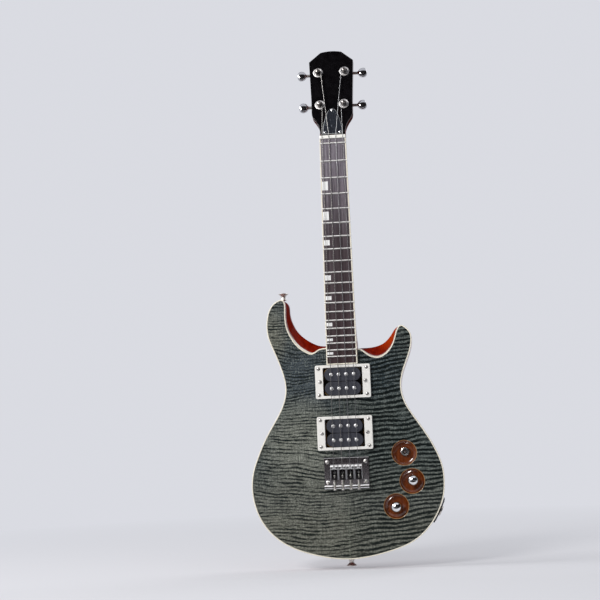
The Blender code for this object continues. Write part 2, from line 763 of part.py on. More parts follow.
def build_neck(finish, tilt):
    front = TOP_Y
    rings = []
    half = half_board(BOARD_END_Z)
    rings.append(neck_section(half, front, HEEL_DEPTH, POCKET_END_Z, 14))
    rings.append(neck_section(half, front, HEEL_DEPTH, HEEL_TOP_Z, 14))
    for share, power in ((0.25, 7), (0.55, 4), (0.8, 2.8), (1.0, 2.3)):
        z = HEEL_TOP_Z + HEEL_SWEEP * share
        depth = NECK_DEPTH + 0.0012 + (HEEL_DEPTH - NECK_DEPTH - 0.0012) * (1 - share) ** 1.8
        rings.append(neck_section(half_board(z), front, depth, z, power))
    middle, end = fret_z(5), fret_z(0) - 0.007
    rings.append(neck_section(half_board(middle), front, NECK_DEPTH + 0.0005, middle, 2.2))
    rings.append(neck_section(half_board(end), front, NECK_DEPTH, end, 2.3))
    rings.append(neck_section(half_board(NUT_FRONT_Z), front, NECK_DEPTH, NUT_FRONT_Z, 3.0))
    turn = Matrix.Translation((0, front, NUT_FRONT_Z)) @ Matrix.Rotation(-HEADSTOCK_ANGLE, 4, "X")
    outline = [(half_width, h) for half_width, h in HEADSTOCK_OUTLINE if h > 0.005]
    outline.append((0.006, HEADSTOCK_TOP))
    for half_width, h in outline:
        section = neck_section(half_width, 0, HEADSTOCK_THICKNESS, h, 16)
        rings.append([turn @ Vector(point) for point in section])
    neck = add_piece("neck", loft(rings), finish["mahogany"])

    slot_low = POCKET_END_Z + 0.012
    slot = box((-TRUSS_SLOT_WIDTH / 2, TRUSS_SLOT_WIDTH / 2),
               (front - 0.01, front + TRUSS_SLOT_DEPTH), (slot_low, NUT_FRONT_Z - 0.004))
    boolean(neck, "truss_slot", slot)
    pocket = box((-0.0055, 0.0055), (-0.006, 0.0065), (-0.006, COVER_LENGTH - 0.010))
    boolean(neck, "truss_pocket", pocket, parent=tilt)
    holes = [rod((x, 0, h), (0, 1, 0), TUNER_HOLE_DIAMETER / 2, -0.01,
                 HEADSTOCK_THICKNESS + 0.01, 12) for x, h in POSTS]
    for x, h in cover_screw_points():
        holes.append(rod((x, 0, h), (0, 1, 0), PILOT_DIAMETER / 2, -0.006, 0.006, 6))
    for x, h in housing_peg_points():
        holes.append(rod((x, 0, h), (0, 1, 0), PILOT_DIAMETER / 2, HEADSTOCK_THICKNESS - 0.006,
                         HEADSTOCK_THICKNESS + 0.01, 6))
    boolean(neck, "headstock_holes", join(*holes), parent=tilt)

    rod_y = front + TRUSS_SLOT_DEPTH - GAP - TRUSS_ROD_DIAMETER / 2
    radius = TRUSS_ROD_DIAMETER / 2
    truss = [(radius, slot_low + GAP), (radius, NUT_BACK_Z - 0.012),
             (radius * 0.9, NUT_BACK_Z - 0.011), (radius * 0.9, NUT_FRONT_Z - 0.0045)]
    add_piece("truss_rod", turned(truss, (0, rod_y, 0), (0, 0, 1), 8), finish["steel"])

    face = [(-w, h) for w, h in HEADSTOCK_OUTLINE] + [(0.0, HEADSTOCK_TOP)]
    face += [(w, h) for w, h in reversed(HEADSTOCK_OUTLINE)]
    sheet = add_piece("headstock_face", plate(face, -GAP - FACE_THICKNESS, -GAP),
                      finish["black_gloss"], parent=tilt)
    holes = [rod((x, 0, h), (0, 1, 0), TUNER_HOLE_DIAMETER / 2, -0.01, 0.01, 12)
             for x, h in POSTS]
    for x, h in cover_screw_points():
        holes.append(rod((x, 0, h), (0, 1, 0), PILOT_DIAMETER / 2, -0.01, 0.01, 6))
    holes.append(box((-0.0050, 0.0050), (-0.01, 0.01), (-0.01, COVER_LENGTH - 0.0105)))
    boolean(sheet, "face_holes", join(*holes), parent=tilt)


def cover_screw_points():
    """Truss cover screws: two at the nut end and one at the tip."""
    return [(-0.0101, 0.0042), (0.0101, 0.0042), (0.0, COVER_LENGTH - 0.0028)]


def housing_peg_points():
    """The peg that stops each housing turning, in the corner away from worm and button."""
    return [(x - math.copysign(HOUSING_PEG_X, x), h - HOUSING_PEG_H) for x, h in POSTS]


def build_fingerboard(finish):
    low, high = BOARD_END_Z, NUT_BACK_Z - GAP
    strip = BOARD_BINDING
    outline = [(-half_board(low) + strip + GAP, low + strip + GAP),
               (half_board(low) - strip - GAP, low + strip + GAP),
               (half_board(high) - strip - GAP, high), (-half_board(high) + strip + GAP, high)]
    board = add_piece("fingerboard", plate(outline, SEAT_Y, BOARD_TOP_Y), finish["rosewood"])
    crowns = []
    tangs = []
    for number in range(FRET_COUNT + 1):
        z = fret_z(number)
        base = BOARD_TOP_Y - GAP
        half = FRET_CROWN_WIDTH / 2
        length = half_board(z) - GAP
        arch = [(z - half, base), (z - half * 0.72, base - FRET_CROWN_HEIGHT * 0.72),
                (z - half * 0.25, base - FRET_CROWN_HEIGHT),
                (z + half * 0.25, base - FRET_CROWN_HEIGHT),
                (z + half * 0.72, base - FRET_CROWN_HEIGHT * 0.72), (z + half, base)]
        crowns.append(loft([[(x, y, zz) for zz, y in arch] for x in (-length, length)]))
        inner = half_board(z) - strip - 2 * GAP
        tangs.append(box((-inner, inner), (base - FRET_CROWN_HEIGHT * 0.4,
                                           base + FRET_TANG_DEPTH),
                         (z - FRET_TANG_WIDTH / 2, z + FRET_TANG_WIDTH / 2)))
    fuse(board, "fret_tangs", *tangs)
    fuse(board, "fret_crowns", *crowns)

    outer = [(-half_board(high), high), (-half_board(low), low), (half_board(low), low),
             (half_board(high), high), (half_board(high) - strip, high),
             (half_board(low) - strip, low + strip), (-half_board(low) + strip, low + strip),
             (-half_board(high) + strip, high)]
    add_piece("fingerboard_binding", plate(outer, SEAT_Y, BOARD_TOP_Y), finish["cream"])

    half = half_board(NUT_FRONT_Z)
    nut = add_piece("nut", box((-half, half), (SEAT_Y, TOP_Y - NUT_HEIGHT),
                               (NUT_BACK_Z, NUT_FRONT_Z)), finish["ivory"])
    notches = [box((string_x(i, NUT_BACK_Z) - 0.0009, string_x(i, NUT_BACK_Z) + 0.0009),
                   (FRET_TOP_Y + 0.0004, TOP_Y - NUT_HEIGHT - 0.002),
                   (NUT_BACK_Z - 0.002, NUT_FRONT_Z + 0.002)) for i in range(STRING_COUNT)]
    boolean(nut, "string_notches", join(*notches))


def build_truss_cover(finish, tilt):
    """A bell-shaped plate over the end of the truss rod."""
    low = 0.0020
    high = COVER_LENGTH
    half = [(0.0134, low), (0.0130, low + 0.006), (0.0120, low + 0.013),
            (0.0106, low + 0.0195), (0.0086, low + 0.0265), (0.0060, low + 0.0320)]
    outline = [(-x, z) for x, z in half] + [(-0.0030, high - 0.0008), (0.0030, high - 0.0008)]
    outline += [(x, z) for x, z in reversed(half)]
    back = -2 * GAP - FACE_THICKNESS
    cover = add_piece("truss_rod_cover", plate(outline, back - COVER_THICKNESS, back),
                      finish["black_satin"], parent=tilt)
    screws = [screw((x, back - COVER_THICKNESS, h), (0, -1, 0), SMALL_HEAD_DIAMETER / 2,
                    SMALL_HEAD_HEIGHT, SMALL_SCREW_DIAMETER / 2, COVER_THICKNESS + 0.0060)
              for x, h in cover_screw_points()]
    fuse(cover, "cover_screws", *screws, parent=tilt)


def build_pickup(name, centre_z, ring_height, bobbin_top, finish):
    """Ring, two bobbins and baseplate of one pickup, each with the screws that it carries."""
    outer = rounded_rectangle(RING_WIDTH, RING_LENGTH, 0.002, (0, centre_z))
    inner = rounded_rectangle(RING_WINDOW_WIDTH, RING_WINDOW_LENGTH, 0.0012, (0, centre_z))
    front = SEAT_Y - ring_height
    ring = add_piece(f"pickup_ring_{name}", frame_plate(outer, inner, front, SEAT_Y),
                     finish["ivory"])
    holes = [rod((sign * height_screw_x(), 0, centre_z), (0, 1, 0),
                 HEIGHT_SCREW_DIAMETER / 2 + GAP, front - 0.01, SEAT_Y + 0.01)
             for sign in (-1, 1)]
    boolean(ring, f"ring_holes_{name}", join(*holes))
    screws = [screw((x, front, z), (0, -1, 0), SMALL_HEAD_DIAMETER / 2, SMALL_HEAD_HEIGHT,
                    SMALL_SCREW_DIAMETER / 2, ring_height + 0.0045)
              for x, z in ring_corners(centre_z)]
    fuse(ring, f"ring_screws_{name}", *screws)

    bobbin_front = TOP_Y - bobbin_top
    levels = (0.0, BOBBIN_FLANGE, BOBBIN_HEIGHT - BOBBIN_FLANGE, BOBBIN_HEIGHT)
    core_width = POLE_SHANK_DIAMETER + 0.0032
    for number, row in ((1, 1), (2, -1)):
        z = centre_z + row * POLE_ROW_SPACING / 2
        wide = stadium(BOBBIN_LENGTH, BOBBIN_WIDTH, (0, z))
        slim = stadium(BOBBIN_LENGTH - BOBBIN_WIDTH + core_width, core_width, (0, z))
        outlines = ((wide, levels[0]), (wide, levels[1]), (slim, levels[1]),
                    (slim, levels[2]), (wide, levels[2]), (wide, levels[3]))
        spool = loft([[(x, bobbin_front + level, zz) for x, zz in outline]
                      for outline, level in outlines])
        bobbin = add_piece(f"pickup_bobbin_{name}_{number}", spool, finish["black_satin"])
        poles = []
        for k in range(STRING_COUNT):
            x = (k - (STRING_COUNT - 1) / 2) * POLE_SPACING
            poles.append(screw((x, bobbin_front, z), (0, -1, 0), POLE_HEAD_DIAMETER / 2,
                               POLE_HEAD_HEIGHT, POLE_SHANK_DIAMETER / 2,
                               BOBBIN_HEIGHT + MAGNET_THICKNESS * 0.5))
        fuse(bobbin, f"poles_{name}_{number}", *poles)

    plate_front = bobbin_front + BOBBIN_HEIGHT + GAP + MAGNET_THICKNESS
    half_x = height_screw_x() + BASEPLATE_EAR
    half_z = RING_WINDOW_LENGTH / 2 - 0.0010
    body_x = RING_WINDOW_WIDTH / 2 - 0.0004
    tab_z = BASEPLATE_EAR_WIDTH / 2
    outline = [(-body_x, -half_z), (body_x, -half_z), (body_x, -tab_z), (half_x, -tab_z),
               (half_x, tab_z), (body_x, tab_z), (body_x, half_z), (-body_x, half_z),
               (-body_x, tab_z), (-half_x, tab_z), (-half_x, -tab_z), (-body_x, -tab_z)]
    base = plate([(x, z + centre_z) for x, z in outline], plate_front,
                 plate_front + BASEPLATE_THICKNESS)
    piece = add_piece(f"pickup_baseplate_{name}", base, finish["brass"])
    gap_half = POLE_ROW_SPACING / 2 - POLE_SHANK_DIAMETER / 2 - GAP
    magnet = box((-BOBBIN_LENGTH / 2, BOBBIN_LENGTH / 2),
                 (plate_front - MAGNET_THICKNESS, plate_front + BASEPLATE_THICKNESS / 2),
                 (centre_z - gap_half, centre_z + gap_half))
    fuse(piece, f"magnet_{name}", magnet)
    length = plate_front + BASEPLATE_THICKNESS + 0.003 - (front - GAP)
    heights = [screw((sign * height_screw_x(), front - GAP, centre_z), (0, -1, 0), 0.0021,
                     0.0012, HEIGHT_SCREW_DIAMETER / 2, length, sink=0.0)
               for sign in (-1, 1)]
    fuse(piece, f"height_screws_{name}", *heights)


def build_pickups(finish):
    build_pickup("neck", NECK_PICKUP_Z, RING_HEIGHT_NECK, BOBBIN_TOP_NECK, finish)
    build_pickup("bridge", BRIDGE_PICKUP_Z, RING_HEIGHT_BRIDGE, BOBBIN_TOP_BRIDGE, finish)


def bar_z():
    """Front and rear of the upright bar at the rear of the bridge plate."""
    rear = BRIDGE_TOP_Z - BRIDGE_LENGTH
    return rear + BRIDGE_BAR_DEPTH, rear


def intonation_height():
    """Height of the intonation screws above the body's top."""
    return GAP + BRIDGE_PLATE_THICKNESS + SADDLE_LIFT + 0.0026


def build_bridge(finish):
    front, rear = bar_z()
    x = BRIDGE_WIDTH / 2
    plate_y = SEAT_Y - BRIDGE_PLATE_THICKNESS
    bar_y = SEAT_Y - BRIDGE_BAR_HEIGHT
    side = [(BRIDGE_TOP_Z, SEAT_Y), (BRIDGE_TOP_Z, plate_y), (front, plate_y),
            (front, bar_y), (rear, bar_y), (rear, SEAT_Y)]
    base = add_piece("bridge_plate", loft([[(sx, y, z) for z, y in side] for sx in (-x, x)]),
                     finish["chrome"])
    holes = string_holes(plate_y - 0.004, SEAT_Y + 0.004)
    clear = INTONATION_SCREW_DIAMETER / 2 + RUNNING_GAP
    for i in range(STRING_COUNT):
        centre = (string_x(i, 0), TOP_Y - intonation_height(), 0)
        holes.append(rod(centre, (0, 0, 1), clear, rear - 0.004, front + 0.004, 8))
    boolean(base, "bridge_holes", join(*holes))
    screws = [screw((sx, plate_y, z), (0, -1, 0), 0.0026, 0.0014,
                    BRIDGE_SCREW_DIAMETER / 2, BRIDGE_SCREW_LENGTH)
              for sx, z in bridge_screw_places()]
    fuse(base, "bridge_screws", *screws)

    saddle_back = plate_y - SADDLE_LIFT
    rear_z = SADDLE_FRONT_Z - SADDLE_LENGTH
    crest = TOP_Y - STRING_HEIGHT_BRIDGE + GAP
    shoulder = crest + 0.0016
    for i in range(STRING_COUNT):
        name = i + 1
        centre_x = string_x(i, 0)
        half = SADDLE_WIDTH / 2
        side = [(SADDLE_FRONT_Z, saddle_back), (SADDLE_FRONT_Z, shoulder),
                (SADDLE_FRONT_Z - 0.0006, crest), (-0.0010, crest), (-0.0030, shoulder),
                (rear_z, shoulder), (rear_z, saddle_back)]
        block = loft([[(centre_x + sx, y, z) for z, y in side] for sx in (-half, half)])
        saddle = add_piece(f"saddle_{name}", block, finish["chrome"],
                           origin=(centre_x, saddle_back, 0))
        slot_half = SADDLE_SLOT_WIDTH / 2
        slot = box((centre_x - slot_half, centre_x + slot_half),
                   (crest - 0.004, saddle_back + 0.004), (rear_z + 0.0048, -0.0014))
        boolean(saddle, f"saddle_slot_{name}", slot)
        bore = rod((centre_x, TOP_Y - intonation_height(), rear_z), (0, 0, 1),
                   INTONATION_SCREW_DIAMETER / 2 + RUNNING_GAP, -0.002, 0.0052, 8)
        boolean(saddle, f"saddle_bore_{name}", bore)
        grubs = [rod((centre_x + sign * 0.0032, 0, -0.0050), (0, 1, 0), 0.0012,
                     crest - 0.0002, plate_y - GAP) for sign in (-1, 1)]
        fuse(saddle, f"saddle_grubs_{name}", *grubs)
        centre = (centre_x, TOP_Y - intonation_height(), rear - GAP)
        length = rear_z + 0.0040 - (rear - GAP)
        add_piece(f"intonation_screw_{name}",
                  screw(centre, (0, 0, -1), INTONATION_HEAD_DIAMETER / 2, 0.0026,
                        INTONATION_SCREW_DIAMETER / 2, length, sink=0.0),
                  finish["chrome"], origin=centre)


def string_route(index, tilt_matrix):
    """Ball end, body, saddle, fret, nut and the turns round the post."""
    radius = STRING_DIAMETERS[index] / 2
    x = string_x(index, 0)
    lift = TOP_Y - STRING_HEIGHT_BRIDGE - radius
    route = [(x, -BALL_SEAT_DEPTH + 0.0015, STRING_HOLE_Z), (x, -0.020, STRING_HOLE_Z),
             (x, SEAT_Y - BRIDGE_PLATE_THICKNESS, STRING_HOLE_Z),
             (x, SEAT_Y - BRIDGE_PLATE_THICKNESS - 0.0020, STRING_HOLE_Z + 0.0006),
             (x, lift + 0.0002, -0.0014), (x, lift, -0.0008)]
    top = FRET_TOP_Y - GAP - radius
    route.append((string_x(index, SCALE_LENGTH), top, SCALE_LENGTH))
    nut_x = string_x(index, NUT_BACK_Z)
    route.append((nut_x, top, NUT_BACK_Z))
    route.append((nut_x, top + 0.0001, NUT_FRONT_Z - 0.0004))
    post_x, post_h = POSTS[(1, 0, 3, 2)[index]]
    inner = 1 if post_x < 0 else -1
    wrap = POST_DIAMETER / 2 + GAP + radius
    start_y = -(FACE_THICKNESS + 0.0052)
    nut_local = tilt_matrix.inverted() @ Vector(route[-1])
    away = math.atan2(post_x - nut_local.x, post_h - nut_local.z)
    reach = math.hypot(post_x - nut_local.x, post_h - nut_local.z)
    lean = away + inner * math.asin(wrap / reach)
    start = math.atan2(-inner * math.sin(lean), inner * math.cos(lean))
    turns = 1.9
    steps = 16
    for k in range(steps + 1):
        angle = start + inner * 2 * math.pi * turns * k / steps
        y = start_y + (2 * radius + 0.0002) * turns * k / steps
        local = Vector((post_x + wrap * math.cos(angle), y, post_h + wrap * math.sin(angle)))
        route.append(tuple(tilt_matrix @ local))
    return route


def build_strings(finish, tilt_matrix):
    for index in range(STRING_COUNT):
        radius = STRING_DIAMETERS[index] / 2
        string = add_piece(f"string_{index + 1}", tube(string_route(index, tilt_matrix), radius),
                           finish["steel"])
        wide = BALL_END_DIAMETER / 2
        front = -BALL_SEAT_DEPTH + GAP
        ball = turned([(wide * 0.7, front), (wide, front + 0.0004),
                       (wide, front + BALL_END_LENGTH - 0.0004),
                       (wide * 0.7, front + BALL_END_LENGTH)],
                      (string_x(index, 0), 0, STRING_HOLE_Z), (0, 1, 0), 10)
        fuse(string, f"ball_end_{index + 1}", ball)


def build_tuners(finish, tilt):
    face = -GAP - FACE_THICKNESS
    back = HEADSTOCK_THICKNESS + GAP
    bore = POST_DIAMETER / 2 + RUNNING_GAP
    barrel = TUNER_HOLE_DIAMETER / 2 - GAP
    wheel_low = back + 0.0018
    worm_y = wheel_low + WORM_WHEEL_THICKNESS / 2
    for i, (x, h) in enumerate(POSTS):
        profile = [(bore, back - 2 * GAP), (bore, face - 0.0021), (0.0046, face - 0.0021),
                   (0.0056, face - 0.0014), (TUNER_WASHER_DIAMETER / 2, face - 0.0011),
                   (TUNER_WASHER_DIAMETER / 2, face - GAP), (barrel, face - GAP),
                   (barrel, back - 2 * GAP)]
        add_piece(f"tuner_bushing_{i + 1}",
                  turned(profile, (x, 0, h), (0, 1, 0), 12, hollow=True), finish["chrome"],
                  parent=tilt)
        side = 1 if x > 0 else -1
        centre_h = h + WORM_OFFSET / 2
        outline = rounded_rectangle(HOUSING_WIDTH, HOUSING_LENGTH, 0.003, (x, centre_h))
        block = loft([
            [(px, back, pz) for px, pz in outline],
            [(px, back + HOUSING_DEPTH * 0.72, pz) for px, pz in outline],
            [(x + (px - x) * 0.8, back + HOUSING_DEPTH, centre_h + (pz - centre_h) * 0.86)
             for px, pz in outline],
        ])
        housing = add_piece(f"tuner_housing_{i + 1}", block, finish["chrome"], parent=tilt)
        room = WORM_WHEEL_DIAMETER / 2 + RUNNING_GAP
        wheel_room = turned([(bore, back - 0.003), (bore, wheel_low - RUNNING_GAP),
                             (room, wheel_low - RUNNING_GAP),
                             (room, wheel_low + WORM_WHEEL_THICKNESS + RUNNING_GAP)],
                            (x, 0, h), (0, 1, 0), 14)
        boolean(housing, f"wheel_room_{i + 1}", wheel_room, parent=tilt)
        worm_room = rod((x, worm_y, h + WORM_OFFSET), (side, 0, 0),
                        WORM_DIAMETER / 2 + RUNNING_GAP, -0.0042, 0.0100, 10)
        boolean(housing, f"worm_room_{i + 1}", worm_room, parent=tilt)
        peg_x, peg_h = housing_peg_points()[i]
        peg = rod((peg_x, 0, peg_h), (0, 1, 0), SMALL_SCREW_DIAMETER / 2, back - 0.0045,
                  back + 0.001)
        fuse(housing, f"housing_peg_{i + 1}", peg, parent=tilt)

    for i, (x, h) in enumerate(POSTS):
        side = 1 if x > 0 else -1
        radius = POST_DIAMETER / 2
        tip = face - POST_HEIGHT
        profile = [
            (radius * 0.55, tip), (radius * 0.95, tip + 0.0007), (radius, tip + 0.0014),
            (radius, tip + 0.0026), (radius * 0.86, tip + 0.0034),
            (radius * 0.86, face - 0.0034), (radius, face - 0.0026), (radius, wheel_low),
            (WORM_WHEEL_DIAMETER / 2, wheel_low),
            (WORM_WHEEL_DIAMETER / 2, wheel_low + WORM_WHEEL_THICKNESS),
        ]
        post = turned(profile, (x, 0, h), (0, 1, 0), 12)
        add_piece(f"tuner_post_{i + 1}", post, finish["chrome"], origin=(x, 0, h), parent=tilt)

        stem = BUTTON_STEM_DIAMETER / 2
        worm = WORM_DIAMETER / 2
        collar = HOUSING_WIDTH / 2 + GAP
        start = BUTTON_CENTRE_REACH - BUTTON_WIDTH / 2
        tall, thick, wide = BUTTON_LENGTH / 2, BUTTON_THICKNESS / 2, BUTTON_WIDTH
        sections = [(-0.0036, worm, worm), (0.0036, worm, worm), (collar, worm, worm),
                    (collar + 0.0001, stem, stem), (start, stem, stem),
                    (start + wide * 0.10, tall * 0.48, thick * 0.72),
                    (start + wide * 0.30, tall * 0.86, thick * 0.95),
                    (start + wide * 0.55, tall, thick), (start + wide * 0.80, tall * 0.90, thick),
                    (start + wide * 0.95, tall * 0.62, thick * 0.70),
                    (start + wide, tall * 0.40, thick * 0.40)]
        axle = Vector((x, worm_y, h + WORM_OFFSET))
        rings = []
        for reach, tall_r, thick_r in sections:
            rings.append([axle + Vector((side * reach, thick_r * math.sin(2 * math.pi * k / 12),
                                         tall_r * math.cos(2 * math.pi * k / 12)))
                          for k in range(12)])
        add_piece(f"tuner_button_{i + 1}", loft(rings), finish["chrome"], origin=axle,
                  parent=tilt)


def build_controls(finish):
    floor = BOWL_FLOOR_Y
    can_front = CEILING_Y + GAP
    thread = BUSHING_DIAMETER / 2
    nut_back = floor - GAP
    shaft_bore = SHAFT_DIAMETER / 2 + RUNNING_GAP
    thread_top = floor - 0.0030
    for name, (x, z) in (("volume", VOLUME_CENTRE), ("tone", TONE_CENTRE)):
        can = POT_DIAMETER / 2
        profile = [(can * 0.9, -can_front - POT_HEIGHT), (can, -can_front - POT_HEIGHT + 0.0008),
                   (can, -can_front), (thread, -can_front), (thread, -thread_top)]
        pot = turned(profile, (x, 0, z), (0, -1, 0), 16)
        piece = add_piece(f"{name}_potentiometer", pot, finish["steel"])
        bore = rod((x, 0, z), (0, -1, 0), shaft_bore, -can_front - 0.0030,
                   -thread_top + 0.002, 12)
        boolean(piece, f"shaft_bore_{name}", bore)

        low = -can_front - 0.0030 + RUNNING_GAP
        base = -floor + 0.0036
        radius = SHAFT_DIAMETER / 2
        wide = KNOB_DIAMETER / 2
        profile = [(radius, low), (radius, base), (wide * 0.90, base),
                   (wide * 0.93, base + 0.0060)]
        for angle in (12, 28, 44, 60, 76):
            turn = math.radians(angle)
            profile.append((wide * math.cos(turn), base + KNOB_HEIGHT - wide
                            + wide * math.sin(turn)))
        profile.append((wide * 0.06, base + KNOB_HEIGHT))
        add_piece(f"{name}_knob", turned(profile, (x, 0, z), (0, -1, 0), 16),
                  finish["chrome"], origin=(x, floor, z))

    x, z = TOGGLE_CENTRE
    bore = TOGGLE_BORE / 2
    top = floor - 0.0040
    profile = [(bore, -can_front - 0.0100), (0.0072, -can_front - 0.0100), (0.0072, -can_front),
               (thread, -can_front), (thread, -top), (bore, -top)]
    add_piece("toggle_switch", turned(profile, (x, 0, z), (0, -1, 0), 16, hollow=True),
              finish["steel"])
    wide = TOGGLE_NUT_DIAMETER / 2
    profile = [(thread + GAP, -nut_back), (wide, -nut_back), (wide, -nut_back + 0.0028),
               (wide * 0.86, -nut_back + 0.0036), (thread + GAP, -nut_back + 0.0036)]
    add_piece("toggle_nut", turned(profile, (x, 0, z), (0, -1, 0), 16, hollow=True),
              finish["nickel"])
    radius = TOGGLE_LEVER_DIAMETER / 2
    ball = bore - RUNNING_GAP
    profile = [(radius * 0.6, -0.0062), (radius * 0.8, -0.0056)]
    for angle in (-55, -25, 0, 25, 55):
        turn = math.radians(angle)
        profile.append((ball * math.cos(turn), ball * math.sin(turn)))
    profile += [(radius * 0.85, 0.0034), (radius * 0.85, 0.0110), (radius, 0.0140),
                (radius * 1.15, 0.0156), (radius, 0.0170), (radius * 0.5, 0.0178)]
    pivot = (x, top + TOGGLE_PIVOT_DEPTH, z)
    add_piece("toggle_lever", turned(profile, pivot, (0, -1, 0), 10), finish["chrome"],
              origin=pivot)

    lip = hull_of_circles(control_centres(), CAVITY_MARGIN + COVER_LIP - GAP)
    cover = add_piece("control_cover", plate(lip, -(COVER_PLATE_THICKNESS + GAP), -GAP),
                      finish["black_satin"])
    screws = [screw((px, -GAP - 0.0009, pz), (0, 1, 0), SMALL_HEAD_DIAMETER / 2, 0.0009,
                    SMALL_SCREW_DIAMETER / 2, 0.0075) for px, pz in cover_screw_places()]
    fuse(cover, "cover_plate_screws", *screws)


def jack_plate_points():
    """Points along the body's side behind the jack plate, and their outward directions."""
    full, _ = body_outlines()
    loop = np.vstack([full, full[:1]])
    along = np.concatenate([[0.0], np.cumsum(np.linalg.norm(np.diff(loop, axis=0), axis=1))])
    edge, _ = jack_direction()
    near = int(np.argmin(np.linalg.norm(full - edge, axis=1)))
    places = along[near] + np.linspace(-0.5, 0.5, 9) * JACK_PLATE_LENGTH
    curve = np.stack([np.interp(places, along, loop[:, k]) for k in (0, 1)], axis=1)
    slope = np.gradient(curve, axis=0)
    slope /= np.linalg.norm(slope, axis=1)[:, None]
    return curve, np.stack([-slope[:, 1], slope[:, 0]], axis=1)


def jack_screw_places():
    """Foot of each of the plate's two screws on the body's side, and its direction."""
    curve, out = jack_plate_points()
    y = -BODY_THICKNESS / 2
    return [(Vector((curve[k][0], y, curve[k][1])), Vector((out[k][0], 0, out[k][1])))
            for k in (1, 7)]


def build_jack(finish):
    """A curved plate on the side of the body, with the socket through it."""
    curve, out = jack_plate_points()
    y = -BODY_THICKNESS / 2
    base = curve + out * 2 * GAP
    skin = curve + out * (2 * GAP + JACK_PLATE_THICKNESS)
    outline = [tuple(point) for point in base] + [tuple(point) for point in skin[::-1]]
    half = JACK_PLATE_HEIGHT / 2
    side = add_piece("jack_plate", plate(outline, y - half, y + half), finish["chrome"])
    edge, normal = jack_direction()
    centre = (edge[0], y, edge[1])
    outward = (normal[0], 0, normal[1])
    boolean(side, "jack_plate_hole", rod(centre, outward, JACK_BARREL_DIAMETER / 2 + GAP,
                                         -0.01, 0.01, 16))
    face = 2 * GAP + JACK_PLATE_THICKNESS
    screws = [screw(foot + direction * face, direction, 0.0022, 0.0010,
                    SMALL_SCREW_DIAMETER / 2, face + 0.0070)
              for foot, direction in jack_screw_places()]
    fuse(side, "jack_plate_screws", *screws)
    barrel = JACK_BARREL_DIAMETER / 2
    bore = JACK_BORE_DIAMETER / 2
    nut = face + GAP
    wide = JACK_NUT_DIAMETER / 2
    collar = JACK_HOLE_DIAMETER / 2 - 0.0015
    profile = [(bore, nut + JACK_NUT_HEIGHT + 0.0008), (barrel, nut + JACK_NUT_HEIGHT + 0.0008),
               (barrel, nut + JACK_NUT_HEIGHT), (wide * 0.9, nut + JACK_NUT_HEIGHT),
               (wide, nut + JACK_NUT_HEIGHT * 0.7), (wide, nut), (barrel, nut),
               (barrel, -GAP), (collar, -GAP), (collar, -0.0030), (barrel, -0.0030),
               (barrel, -JACK_BARREL_LENGTH), (bore, -JACK_BARREL_LENGTH)]
    add_piece("output_jack", turned(profile, centre, outward, 16, hollow=True),
              finish["nickel"])


def build_straps(finish):
    """Each button stands on the side of the body, with its screw as its core."""
    for name, (centre, direction) in zip(("bottom", "horn"), strap_places()):
        base = STRAP_BUTTON_BASE / 2
        flange = STRAP_BUTTON_FLANGE / 2
        shank = STRAP_SCREW_DIAMETER / 2
        tall = STRAP_BUTTON_HEIGHT
        profile = [(shank * 0.5, -STRAP_SCREW_LENGTH), (shank, -STRAP_SCREW_LENGTH + 0.002),
                   (shank, GAP), (base, GAP), (base, GAP + 0.0012), (base * 0.80, GAP + 0.0022),
                   (base * 0.78, tall * 0.5), (base * 1.05, tall * 0.72),
                   (flange * 0.94, tall * 0.90), (flange, tall * 0.95), (flange * 0.94, tall),
                   (0.0031, tall), (0.0031, tall + 0.0006), (0.0018, tall + 0.0012)]
        add_piece(f"strap_button_{name}", turned(profile, centre, direction, 12),
                  finish["nickel"])


def build_wiring(finish):
    """Thin leads in the drillings, from the pickups to the switch and on to the jack."""
    y = TOP_Y + PICKUP_CAVITY_DEPTH - 0.004
    low_z = BRIDGE_PICKUP_Z - 0.010
    start = Vector((RING_WINDOW_WIDTH / 2 - 0.004, y, low_z))
    end = Vector((TOGGLE_CENTRE[0] - 0.004, y, TOGGLE_CENTRE[1] - 0.002))
    run = end - start
    bridge_lead = [tuple(start + run * share + Vector((0, 0.0008 * (share < 0.1), 0)))
                   for share in (0.05, 0.3, 0.55, 0.76)]
    add_piece("pickup_lead", tube(bridge_lead, 0.0010, 6), finish["rubber"])


def main():
    clear_scene()
    finish = finishes()
    tilt = bpy.data.objects.new("headstock_tilt", None)
    tilt.location = (0, TOP_Y, NUT_FRONT_Z)
    tilt.rotation_euler = (-HEADSTOCK_ANGLE, 0, 0)
    bpy.context.scene.collection.objects.link(tilt)
    tilt_matrix = Matrix.Translation(tilt.location) @ Matrix.Rotation(-HEADSTOCK_ANGLE, 4, "X")

    build_body(finish)
    build_neck(finish, tilt)
    build_fingerboard(finish)
    build_truss_cover(finish, tilt)
    build_pickups(finish)
    build_bridge(finish)
    build_strings(finish, tilt_matrix)
    build_tuners(finish, tilt)
    build_controls(finish)
    build_jack(finish)
    build_straps(finish)
    build_wiring(finish)


main()
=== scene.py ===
import math

import bmesh
import bpy
import numpy as np
from mathutils import Matrix, Vector


